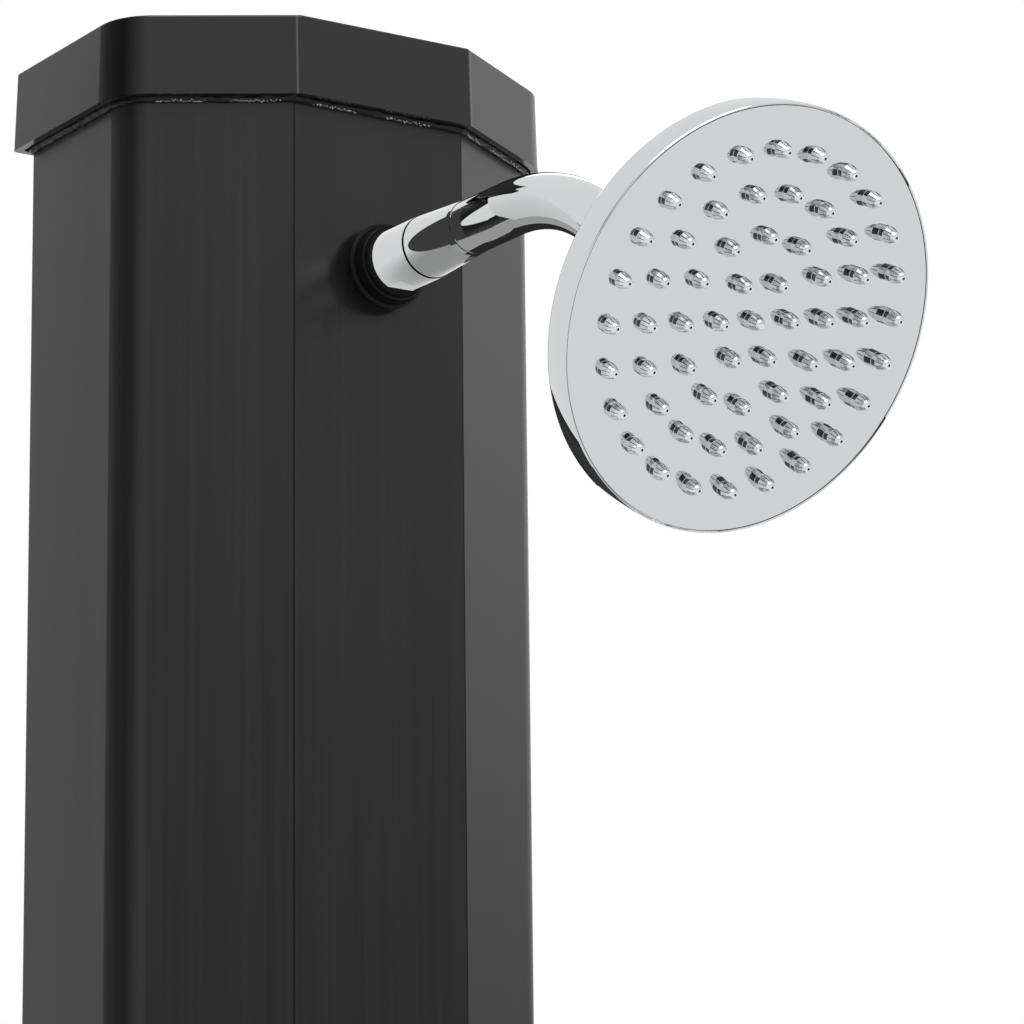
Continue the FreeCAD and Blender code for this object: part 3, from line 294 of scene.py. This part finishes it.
def paintedEdgeLines(tree, shader, spec, colour):
    # painted shade on the post and painted highlight on the cap: thin upright lines where the front flat
    # ends, found from their place across the post
    place = addNode(tree, "TexCoord").outputs["Object"]
    place = addNode(tree, "SeparateXYZ", (place,)).outputs
    across = addNode(tree, "Math", (place["X"],), operation="ABSOLUTE").outputs[0]
    across = addNode(tree, "Math", (across, spec["at"] / 1000), operation="SUBTRACT").outputs[0]
    across = addNode(tree, "Math", (across,), operation="ABSOLUTE").outputs[0]
    near = addNode(tree, "MapRange", (across, spec["core"] / 1000, spec["half"] / 1000, 1, 0),
                   interpolation_type="SMOOTHSTEP").outputs[0]
    ahead = addNode(tree, "Math", (place["Y"], spec["front"] / 1000), operation="LESS_THAN").outputs[0]
    line = addNode(tree, "Math", (near, ahead), operation="MULTIPLY").outputs[0]
    tinted = addNode(tree, "Mix", {"Factor": line, "A": colour, "B": toLinear(spec["colour"])},
                     data_type="RGBA").outputs["Result"]
    tree.links.new(tinted, shader.inputs["Base Color"])
    shine = shader.inputs["Specular IOR Level"]
    dulled = addNode(tree, "MapRange", (line, 0.0, 1.0, shine.default_value, spec["shine"])).outputs[0]
    tree.links.new(dulled, shine)


# PVC profile, drawn through a die: satin black with faint upright draw lines and a soft sheen
drawnPvc = {"colour": "#191919", "lighter": "#212121", "roughness": (0.20, 0.24), "lineWidth": 2.6,
            "lineLength": 300.0, "bandWidth": 14.0, "bandLength": 600.0, "noiseSum": (0.75, 1.25),
            "bump": 0.02, "depth": 0.2,
            # painted shade: a dark, dull line along each edge of the front flat, where the rounded edge
            # would look dark, in mm: its place from the middle, half the width of its core and of all of
            # it, and the depth behind which there is none
            "edge": {"at": 37.5, "core": 0.18, "half": 0.45, "front": -50.0, "colour": "#0d0d0d",
                     "shine": 0.2}}


def makeDrawnPvc(spec):
    material, tree, shader = startFinish("drawnPvc", spec["colour"], spec["roughness"][0], IOR=1.5)
    width, length = perMetre(spec["lineWidth"]), perMetre(spec["lineLength"])
    lines = addNode(tree, "TexNoise", {"Vector": objectPlace(tree, (width, width, length)), "Scale": 1.0,
                                       "Detail": 3.0, "Roughness": 0.6}).outputs["Fac"]
    width, length = perMetre(spec["bandWidth"]), perMetre(spec["bandLength"])
    bands = addNode(tree, "TexNoise", {"Vector": objectPlace(tree, (width, width, length)), "Scale": 1.0,
                                       "Detail": 2.0, "Roughness": 0.5}).outputs["Fac"]
    both = addNode(tree, "Math", (lines, bands), operation="ADD").outputs[0]
    share = addNode(tree, "MapRange", (both, *spec["noiseSum"], 0.0, 1.0)).outputs[0]
    colour = addNode(tree, "Mix", {"Factor": share, "A": toLinear(spec["colour"]),
                                   "B": toLinear(spec["lighter"])}, data_type="RGBA").outputs["Result"]
    # painted shade along the front flat's edges
    paintedEdgeLines(tree, shader, spec["edge"], colour)
    rough = addNode(tree, "MapRange", (both, *spec["noiseSum"], *spec["roughness"])).outputs[0]
    tree.links.new(rough, shader.inputs["Roughness"])
    bump = addNode(tree, "Bump", {"Height": lines, "Strength": spec["bump"],
                                  "Distance": spec["depth"] / 1000}).outputs[0]
    tree.links.new(bump, shader.inputs["Normal"])
    return material


# ABS, injection moulded: semi-gloss black with a very fine orange peel
mouldedAbs = {"colour": "#131313", "roughness": (0.13, 0.17), "peel": 0.8, "bump": 0.012, "depth": 0.2,
              # painted highlight: the edges of the front flat are drawn pale, where the small round would
              # catch the light
              "edge": {"at": 39.1, "core": 0.18, "half": 0.45, "front": -50.0, "colour": "#4c4c4c",
                       "shine": 0.5}}


def makeMouldedAbs(spec):
    material, tree, shader = startFinish("mouldedAbs", spec["colour"], spec["roughness"][0], IOR=1.53)
    scale = perMetre(spec["peel"])
    peel = addNode(tree, "TexNoise", {"Vector": objectPlace(tree, (scale,) * 3), "Scale": 1.0,
                                      "Detail": 4.0}).outputs["Fac"]
    rough = addNode(tree, "MapRange", (peel, *noiseRange, *spec["roughness"])).outputs[0]
    tree.links.new(rough, shader.inputs["Roughness"])
    # painted highlight along the front flat's edges
    paintedEdgeLines(tree, shader, spec["edge"], toLinear(spec["colour"]))
    bump = addNode(tree, "Bump", {"Height": peel, "Strength": spec["bump"],
                                  "Distance": spec["depth"] / 1000}).outputs[0]
    tree.links.new(bump, shader.inputs["Normal"])
    return material


# bright chromium plate on polished brass: a neutral mirror, with a trace of polishing haze
chromePlate = {"colour": "#cfd0d1", "roughness": (0.010, 0.022), "haze": 22.0, "wave": 30.0, "bump": 0.008,
               "depth": 1.0}
# painted shade: the collar's ring groove is coloured near black, and the nose's lip darker grey to dim its
# bright reflected line
# in mm: the groove's front and back, its axis' height and how far out it reaches, and where the lip starts
collarPaintedShade = {"front": -91.5, "back": -90.45, "height": 2075.8, "radius": 12.24, "colour": "#0c0c0c",
                "lip": -120.40, "lipShadeColour": "#5e5e5e"}


def makeChromePlate(spec, name="chromePlate"):
    material, tree, shader = startFinish(name, spec["colour"], spec["roughness"][0], Metallic=1.0)
    scale = perMetre(spec["haze"])
    haze = addNode(tree, "TexNoise", {"Vector": objectPlace(tree, (scale,) * 3), "Scale": 1.0,
                                      "Detail": 6.0, "Roughness": 0.6}).outputs["Fac"]
    rough = addNode(tree, "MapRange", (haze, *noiseRange, *spec["roughness"])).outputs[0]
    tree.links.new(rough, shader.inputs["Roughness"])
    scale = perMetre(spec["wave"])
    wave = addNode(tree, "TexNoise", {"Vector": objectPlace(tree, (scale,) * 3), "Scale": 1.0,
                                      "Detail": 1.0}).outputs["Fac"]
    bump = addNode(tree, "Bump", {"Height": wave, "Strength": spec["bump"],
                                  "Distance": spec["depth"] / 1000}).outputs[0]
    tree.links.new(bump, shader.inputs["Normal"])
    return material


# paints shade on the collar's chrome: near black in the ring groove and darker grey on the nose's lip
def paintGrooveShade(material, spec):
    tree = material.node_tree
    shader = tree.nodes["Principled BSDF"]
    place = addNode(tree, "TexCoord").outputs["Object"]
    ahead = addNode(tree, "SeparateXYZ", (place,)).outputs["Y"]
    middle = (spec["front"] + spec["back"]) / 2000
    half = (spec["back"] - spec["front"]) / 2000
    inside = addNode(tree, "Math", (ahead, middle, half), operation="COMPARE").outputs[0]
    axis = (0, 0, spec["height"] / 1000)
    across = addNode(tree, "VectorMath", (place, axis), operation="SUBTRACT").outputs[0]
    across = addNode(tree, "VectorMath", (across, (1, 0, 1)), operation="MULTIPLY").outputs[0]
    across = addNode(tree, "VectorMath", (across,), operation="LENGTH").outputs["Value"]
    sunk = addNode(tree, "Math", (across, spec["radius"] / 1000), operation="LESS_THAN").outputs[0]
    dark = addNode(tree, "Math", (inside, sunk), operation="MULTIPLY").outputs[0]
    colour = addNode(tree, "Mix", {"Factor": dark, "A": list(shader.inputs["Base Color"].default_value),
                                   "B": toLinear(spec["colour"])}, data_type="RGBA").outputs["Result"]
    lip = addNode(tree, "Math", (ahead, spec["lip"] / 1000), operation="LESS_THAN").outputs[0]
    colour = addNode(tree, "Mix", {"Factor": lip, "A": colour, "B": toLinear(spec["lipShadeColour"])},
                     data_type="RGBA").outputs["Result"]
    tree.links.new(colour, shader.inputs["Base Color"])
    return material


# polyester powder coat on steel: low gloss black with a fine pebble
powderCoat = {"colour": "#1d1d1e", "roughness": (0.45, 0.55), "pebble": 0.9, "bump": 0.25}
# moulded nylon: satin black
mouldedNylon = {"colour": "#0c0c0c", "roughness": (0.42, 0.55), "pebble": 0.8, "bump": 0.05,
                "shine": 0.11}
# EPDM, moulded: matt black
epdmRubber = {"colour": "#0a0a0a", "roughness": (0.50, 0.6), "pebble": 0.6, "bump": 0.1, "shine": 0.18}
# turned brass: warm metal, a little uneven from the tool
turnedBrass = {"colour": "#c9ab6b", "roughness": (0.25, 0.4), "pebble": 0.7, "bump": 0.08, "metal": 1.0}
# stainless steel, drawn and cold headed: grey metal with a dull sheen
stainlessSteel = {"colour": "#b9b9ba", "roughness": (0.22, 0.35), "pebble": 0.6, "bump": 0.05, "metal": 1.0}
# PTFE, turned: waxy white
ptfeLiner = {"colour": "#e4e4e0", "roughness": (0.4, 0.5), "pebble": 1.0, "bump": 0.03}
# hard PVC fittings, moulded: satin grey
greyFitting = {"colour": "#8b8d90", "roughness": (0.38, 0.5), "pebble": 1.0, "bump": 0.06}
# polyethylene, extruded: milky white, softly uneven
polyethylenePipe = {"colour": "#dcdcd8", "roughness": (0.35, 0.5), "pebble": 3.0, "bump": 0.04}
# solvent cement that dried in the open: black, with a skin that shines here and there
sealantBlack = {"colour": "#0e0e0e", "roughness": (0.3, 0.5), "pebble": 2.0, "bump": 0.4, "shine": 0.25}
# silicone nozzles, moulded and silvered: bright like the face, and smoky where the mould's windows were
silverSilicone = {"colour": "#e2e3e4", "roughness": (0.10, 0.14), "pebble": 1.0, "bump": 0.0, "metal": 0.6}
smokeSilicone = {"colour": "#1c1d1e", "roughness": (0.10, 0.16), "pebble": 0.7, "bump": 0.0}
# the lever's index plug, polished ABS: pale and glossy
polishedPlastic = {"colour": "#c9cbcc", "roughness": (0.08, 0.14), "pebble": 2.0, "bump": 0.02}
pebbleDepth = 0.3  # mm


def makePebbled(name, spec):
    material, tree, shader = startFinish(name, spec["colour"], spec["roughness"][0],
                                         Metallic=spec.get("metal", 0.0))
    shader.inputs["Specular IOR Level"].default_value = spec.get("shine", 0.5)
    scale = perMetre(spec["pebble"])
    pebble = addNode(tree, "TexNoise", {"Vector": objectPlace(tree, (scale,) * 3), "Scale": 1.0,
                                        "Detail": 3.0}).outputs["Fac"]
    rough = addNode(tree, "MapRange", (pebble, *noiseRange, *spec["roughness"])).outputs[0]
    tree.links.new(rough, shader.inputs["Roughness"])
    bump = addNode(tree, "Bump", {"Height": pebble, "Strength": spec["bump"],
                                  "Distance": pebbleDepth / 1000}).outputs[0]
    tree.links.new(bump, shader.inputs["Normal"])
    return material


finishes = {
    "post_pvc": makeDrawnPvc(drawnPvc),
    "cap_abs": makeMouldedAbs(mouldedAbs),
    "chrome": makeChromePlate(chromePlate),
    "powder_coat": makePebbled("powderCoat", powderCoat),
    "black_plastic": makePebbled("mouldedNylon", mouldedNylon),
    "rubber": makePebbled("epdmRubber", epdmRubber),
    "brass": makePebbled("turnedBrass", turnedBrass),
    "steel": makePebbled("stainlessSteel", stainlessSteel),
    "ptfe": makePebbled("ptfeLiner", ptfeLiner),
    "pvc_fitting": makePebbled("greyFitting", greyFitting),
    "pipe": makePebbled("polyethylenePipe", polyethylenePipe),
    "sealant": makePebbled("sealantBlack", sealantBlack),
    "silicone": makePebbled("silverSilicone", silverSilicone),
    "index_plastic": makePebbled("polishedPlastic", polishedPlastic),
}
finishes["boot_abs"] = finishes["cap_abs"]
for part in frame["record"]["subparts"]:
    mesh = nodes[part["node"]].data
    mesh.materials.clear()
    mesh.materials.append(finishes[part["material_slot"]])
# the collar's chrome, with the painted groove and lip shade
collarPlate = makeChromePlate(chromePlate, "collarPlate")
nodes["arm_collar"].data.materials[0] = paintGrooveShade(collarPlate, collarPaintedShade)
print("finishes on", len(finishes), "slots")

# ---- pieces


def addPiece(name, verts, faces, material, body, node, slot, smooth=True):
    mesh = bpy.data.meshes.new(name)
    mesh.from_pydata(verts, [], faces)
    mesh.materials.append(material)
    if smooth:
        mesh.shade_smooth()
    piece = bpy.data.objects.new(name, mesh)
    bpy.context.scene.collection.objects.link(piece)
    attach(piece, body)
    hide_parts(node)
    return piece


# the post's outline in mm: half width and depth of each corner from the front flat's middle, and its radius
post = {"frontY": -54.44, "corners": ((37.5, 0.0, 1.2), (92.15, 33.88, 18.5), (92.15, 108.88, 2.0)),
        "capUnderside": 2138.2}


def walkOutline(spec, step):
    # evenly spaced stations round the post: place on the face and outward direction
    half = [(x, spec["frontY"] + y, r) for x, y, r in spec["corners"]]
    ring = half + [(-x, y, r) for x, y, r in reversed(half)]
    arcs = []
    for i, (x, y, radius) in enumerate(ring):
        here = Vector((x, y))
        before = (here - Vector(ring[i - 1][:2])).normalized()
        after = (Vector(ring[(i + 1) % len(ring)][:2]) - here).normalized()
        normals = [Vector((d.y, -d.x)) for d in (before, after)]
        centre = here - (normals[0] + normals[1]) * radius / (1 + normals[0].dot(normals[1]))
        arcs.append((centre, radius, normals))
    stations = []
    for i, (centre, radius, normals) in enumerate(arcs):
        turn = normals[0].angle(normals[1])
        parts = max(2, round(radius * turn / step))
        for k in range(parts + 1):
            angle = turn * k / parts
            normal = Vector((normals[0].x * math.cos(angle) - normals[0].y * math.sin(angle),
                             normals[0].x * math.sin(angle) + normals[0].y * math.cos(angle)))
            stations.append((centre + normal * radius, normal))
        last = stations[-1][0]
        nextCentre, nextRadius, nextNormals = arcs[(i + 1) % len(arcs)]
        end = nextCentre + nextNormals[0] * nextRadius
        parts = max(1, round((end - last).length / step))
        stations += [(last.lerp(end, k / parts), normals[1]) for k in range(1, parts)]
    return stations


# bead of solvent cement that squeezed out under the cap and set in lumps
sealantBead = {"step": 0.7, "gap": 0.02, "drop": 1.7, "width": 2.0, "inside": 1.2, "profile": 8,
               "lump": 0.35, "lumpLength": 3.4, "lumpRow": 3.0,  # mm between two rows of lumps
               "smallLump": (0.5, 2.3),  # height and count of the small lumps on the large ones
               "thinnest": (0.35, 0.3)}  # share of the width and of the drop that is always left
# pale crumbs of dried cement, pressed into the bead in patches; their pale colour is a painted glint
cementGlintFlecks = {"count": 760, "size": (0.14, 0.62), "colour": "#c9c9ca", "sides": 6,
                "rings": ((-0.8, 0.5), (0.0, 1.0), (0.8, 0.6)),  # height and radius over the size
                "lean": (25, 80),  # degrees below the level
                "sunk": 0.9, "patch": 11.0, "patchFloor": -0.06, "noGlintSide": -0.9}


def makeSealantBead(spec, outline):
    stations = walkOutline(outline, spec["step"])
    low = outline["capUnderside"]
    small, often = spec["smallLump"]
    leastOut, leastDown = spec["thinnest"]
    verts, faces = [], []
    count = spec["profile"] + 2
    for place, normal in stations:
        for k in range(spec["profile"]):
            angle = math.radians(-90 + 90 * k / (spec["profile"] - 1))
            seed = Vector((place.x, place.y, spec["lumpRow"] * k)) / spec["lumpLength"]
            lump = 1 + spec["lump"] * (noise.noise(seed) + small * noise.noise(seed * often))
            out = spec["gap"] + spec["width"] * math.cos(angle) * min(1.0, max(leastOut, lump))
            down = spec["drop"] * math.sin(angle) * max(leastDown, lump)
            verts.append((place.x + normal.x * out, place.y + normal.y * out, low + down))
        for out in (spec["width"], spec["gap"]):
            verts.append((place.x + normal.x * out, place.y + normal.y * out, low + spec["inside"]))
    total = len(stations)
    for i in range(total):
        for k in range(count):
            a, b = i * count, (i + 1) % total * count
            faces.append((a + k, b + k, b + (k + 1) % count, a + (k + 1) % count))
    return [tuple(c / 1000 for c in v) for v in verts], faces


def makeFlecks(spec, bead, outline):
    stations = walkOutline(outline, bead["step"])
    small, large = spec["size"]
    lowest, highest = spec["lean"]
    sides = spec["sides"]
    verts, faces = [], []
    for i in range(spec["count"]):
        # four draws from 0 to 1: place along the bead, size, lean and how far it stands out
        r1, r2, r3, r4 = (noise.noise(Vector((7.3 * i + 0.5, 3.1 * j, 1.7))) * 0.5 + 0.5 for j in range(4))
        place, normal = stations[int((i + r1) * len(stations) / spec["count"]) % len(stations)]
        patch = noise.noise(Vector((place.x, place.y, 4.0)) / spec["patch"])
        if normal.x < spec["noGlintSide"] or patch < spec["patchFloor"]:
            continue  # between the patches, or on the left side, which gets no painted glints
        size = small + (large - small) * r2 * r2
        lean = math.radians(lowest + (highest - lowest) * r3)
        out = bead["width"] * math.cos(lean) * (spec["sunk"] + 0.3 * r4)
        down = bead["drop"] * math.sin(lean) * (spec["sunk"] + 0.4 * r4)
        along = Vector((-normal.y, normal.x))
        first = len(verts)
        for up, ring in spec["rings"]:
            for k in range(sides):
                angle = math.pi * (2 * k / sides + r2)
                reach = size * ring * (0.75 + 0.5 * abs(noise.noise(Vector((i * 1.9, k * 2.3, up)))))
                spot = place + normal * (out + reach * math.cos(angle)) + along * reach * math.sin(angle)
                verts.append((spot.x, spot.y, outline["capUnderside"] - down + up * size))
        for ring in range(len(spec["rings"]) - 1):
            for k in range(sides):
                a, b = first + sides * ring + k, first + sides * ring + (k + 1) % sides
                faces.append((a, b, b + sides, a + sides))
        faces.append(tuple(range(first + sides - 1, first - 1, -1)))
        faces.append(tuple(range(len(verts) - sides, len(verts))))
    return [tuple(c / 1000 for c in v) for v in verts], faces


# painted glints: the crumbs' pale grey colour stands in for the bead's sparkle
glintFleckFinish = makePebbled("driedCementGlint", {"colour": cementGlintFlecks["colour"], "roughness": (0.12, 0.3),
                                          "pebble": 0.5, "bump": 0.1})
beadShape = makeSealantBead(sealantBead, post)
addPiece("sealantBead", *beadShape, finishes["sealant"], "post", "cap_bead", "sealant")
fleckShape = makeFlecks(cementGlintFlecks, sealantBead, post)
addPiece("cementGlintFlecks", *fleckShape, glintFleckFinish, "post", "cap_bead", "sealant", smooth=False)
print("bead laid under the cap")

# the head's chromed shell and face plate, turned finely enough for a clean edge; mm along the spray axis
turnedParts = {
    "headShellSkin": {"node": "head_shell", "slot": "chrome", "sides": 288, "sharp": 28, "profile": (
        (17.05, 2.0), (17.05, 10.0), (17.36, 11.53), (18.22, 12.83), (19.52, 13.69), (21.05, 14.0),
        (74.6, 20.35), (75.1, 20.42), (75.5, 20.62), (75.78, 20.95), (75.9, 21.4), (75.9, 30.85),
        (75.8, 31.15), (75.6, 31.35), (75.4, 31.4), (75.1, 31.1), (75.1, 29.7), (72.0, 29.7),
        (72.0, 27.1), (70.4, 23.6), (21.05, 16.6), (6.0, 16.6), (6.0, 9.28), (8.2, 7.41), (9.8, 5.1),
        (10.87, 2.0))},
    "facePlateSkin": {"node": "face_plate", "slot": "chrome", "sides": 288, "sharp": 28, "profile": (
        (0.0, 29.7), (74.9, 29.7), (74.9, 30.85), (74.8, 31.03), (74.6, 31.1), (0.0, 31.1))},
}


def makeTurned(spec, place):
    verts, faces = [], []
    sides, profile = spec["sides"], spec["profile"]
    rings = []
    for radius, height in profile:
        count = 1 if radius == 0 else sides
        rings.append([len(verts) + k for k in range(count)])
        for k in range(count):
            angle = 2 * math.pi * k / sides
            spot = Vector((radius * math.cos(angle), radius * math.sin(angle), height))
            verts.append(place @ (spot / 1000))
    closed = profile[0][0] > 0
    for i in range(len(rings) if closed else len(rings) - 1):
        low, high = rings[i], rings[(i + 1) % len(rings)]
        for k in range(sides):
            face = [low[k % len(low)], low[(k + 1) % len(low)]]
            face += [high[(k + 1) % len(high)], high[k % len(high)]]
            faces.append(tuple(dict.fromkeys(face)))
    return verts, faces


# silicone nozzles: a round waist with moulded windows, a flat-sided ogive and a flat tip with a jet hole
nozzles = {"rings": 4, "pitch": 15.0, "phase": 8.3, "flats": 12, "sides": 72,
           "holeRadius": 0.45, "holeDepth": 2.5, "faceFront": 31.1,
           "matBack": 28.1, "matSunk": 1.42, "matRadius": 71.8, "matSides": 96,
           # height over the face plate, radius, how far it is flat sided
           "profile": ((-1.4, 2.85, 0.0), (0.02, 2.85, 0.0), (0.16, 2.87, 0.0), (1.2, 2.95, 0.0),
                       (2.3, 3.02, 0.0), (2.7, 3.00, 1.0), (4.4, 2.52, 1.0), (5.7, 1.98, 1.0),
                       (6.5, 1.52, 1.0), (6.9, 1.10, 0.0)),
           # first and last band of the profile, counted from 0, that has windows, flats or smoky lines of
           # painted shade at the flats' edges
           "windows": 4, "windowBands": (2, 3), "flatBands": (5, 7), "lineBands": (5, 6), "lineEvery": 6,
           "turnEach": 7}  # sides that each nozzle is turned on from the one before
silver, smoke, hole = range(3)  # the mat's materials
head = {"pivot": (0.0, -262.74, 2014.0), "tilt": 29.2, "side": 4.74}


def headPlace(spec):
    level = Matrix(((-1, 0, 0), (0, 0, -1), (0, -1, 0)))  # spray axis straight ahead
    tilt = Matrix.Rotation(math.radians(spec["tilt"]), 3, "X")
    side = Matrix.Rotation(math.radians(spec["side"]), 3, tilt @ Vector((0, 0, 1)))
    return Matrix.Translation(Vector(spec["pivot"]) / 1000) @ (side @ tilt @ level).to_4x4()


def nozzleSpots(spec):
    spots = [(0.0, 0.0)]
    for ring in range(1, spec["rings"] + 1):
        for i in range(6 * ring):
            angle = math.radians(spec["phase"]) + i * math.pi / 3 / ring
            reach = ring * spec["pitch"]
            spots.append((reach * math.cos(angle), reach * math.sin(angle)))
    return spots


def isWithin(bands, band):
    return bands[0] <= band <= bands[1]


def makeNozzles(spec, place):
    verts, faces, slots, flatFaces = [], [], [], []
    sides, flats = spec["sides"], spec["flats"]
    window = sides // (2 * spec["windows"])
    front = spec["faceFront"]
    for number, (x, y) in enumerate(nozzleSpots(spec)):
        rings = list(spec["profile"])
        if number:  # the middle one is blind
            top = rings[-1][0]
            rings += [(top, spec["holeRadius"], 0.0), (top - spec["holeDepth"], spec["holeRadius"], 0.0)]
        first = len(verts)
        for height, radius, flat in rings:
            for k in range(sides):
                angle = 2 * math.pi * k / sides
                within = (angle % (2 * math.pi / flats)) - math.pi / flats
                reach = radius * (1 - flat * (1 - math.cos(math.pi / flats) / math.cos(within)))
                spot = Vector((x + reach * math.cos(angle), y + reach * math.sin(angle), front + height))
                verts.append(place @ (spot / 1000))
        turned = spec["turnEach"] * number + number // 3
        for band in range(len(rings) - 1):
            for k in range(sides):
                a, b = first + sides * band + k, first + sides * band + (k + 1) % sides
                faces.append((a, b, b + sides, a + sides))
                smokeOrShadeLine = isWithin(spec["windowBands"], band) and (k + turned) // window % 2
                # painted shade: a thin smoky line at each edge between two flats
                smokeOrShadeLine = smokeOrShadeLine or isWithin(spec["lineBands"], band) and k % spec["lineEvery"] == 0
                inHole = number and band == len(rings) - 2
                slots.append(hole if inHole else smoke if smokeOrShadeLine else silver)
                if isWithin(spec["flatBands"], band):
                    flatFaces.append(len(faces) - 1)
        faces.append(tuple(range(first + sides - 1, first - 1, -1)))
        last = len(verts) - sides
        faces.append(tuple(range(last, last + sides)))
        slots += [silver, hole if number else silver]
    first, count, reach = len(verts), spec["matSides"], spec["matRadius"]
    for height in (spec["matBack"], front - spec["matSunk"]):
        for k in range(count):
            angle = 2 * math.pi * k / count
            spot = Vector((reach * math.cos(angle), reach * math.sin(angle), height))
            verts.append(place @ (spot / 1000))
    for k in range(count):
        a, b = first + k, first + (k + 1) % count
        faces.append((a, b, b + count, a + count))
    faces.append(tuple(range(first + count - 1, first - 1, -1)))
    faces.append(tuple(range(first + count, first + 2 * count)))
    return verts, faces, slots + [silver] * (count + 2), flatFaces


for skinName, spec in turnedParts.items():
    skinShape = makeTurned(spec, headPlace(head))
    skin = addPiece(skinName, *skinShape, finishes[spec["slot"]], "head", spec["node"], spec["slot"])
    skin.data.set_sharp_from_angle(angle=math.radians(spec["sharp"]))
print("head turned")
*matShape, matSlots, flatFaces = makeNozzles(nozzles, headPlace(head))
mat = addPiece("nozzleMat", *matShape, finishes["silicone"], "head", "nozzle_mat", "silicone")
mat.data.materials.append(makePebbled("smokeSilicone", smokeSilicone))
mat.data.materials.append(finishes["rubber"])  # painted shade: the jet holes are lined in black rubber to look dark inside
for polygon, slot in zip(mat.data.polygons, matSlots):
    polygon.material_index = slot
for number in flatFaces:
    mat.data.polygons[number].use_smooth = False
print("nozzles in the face plate")
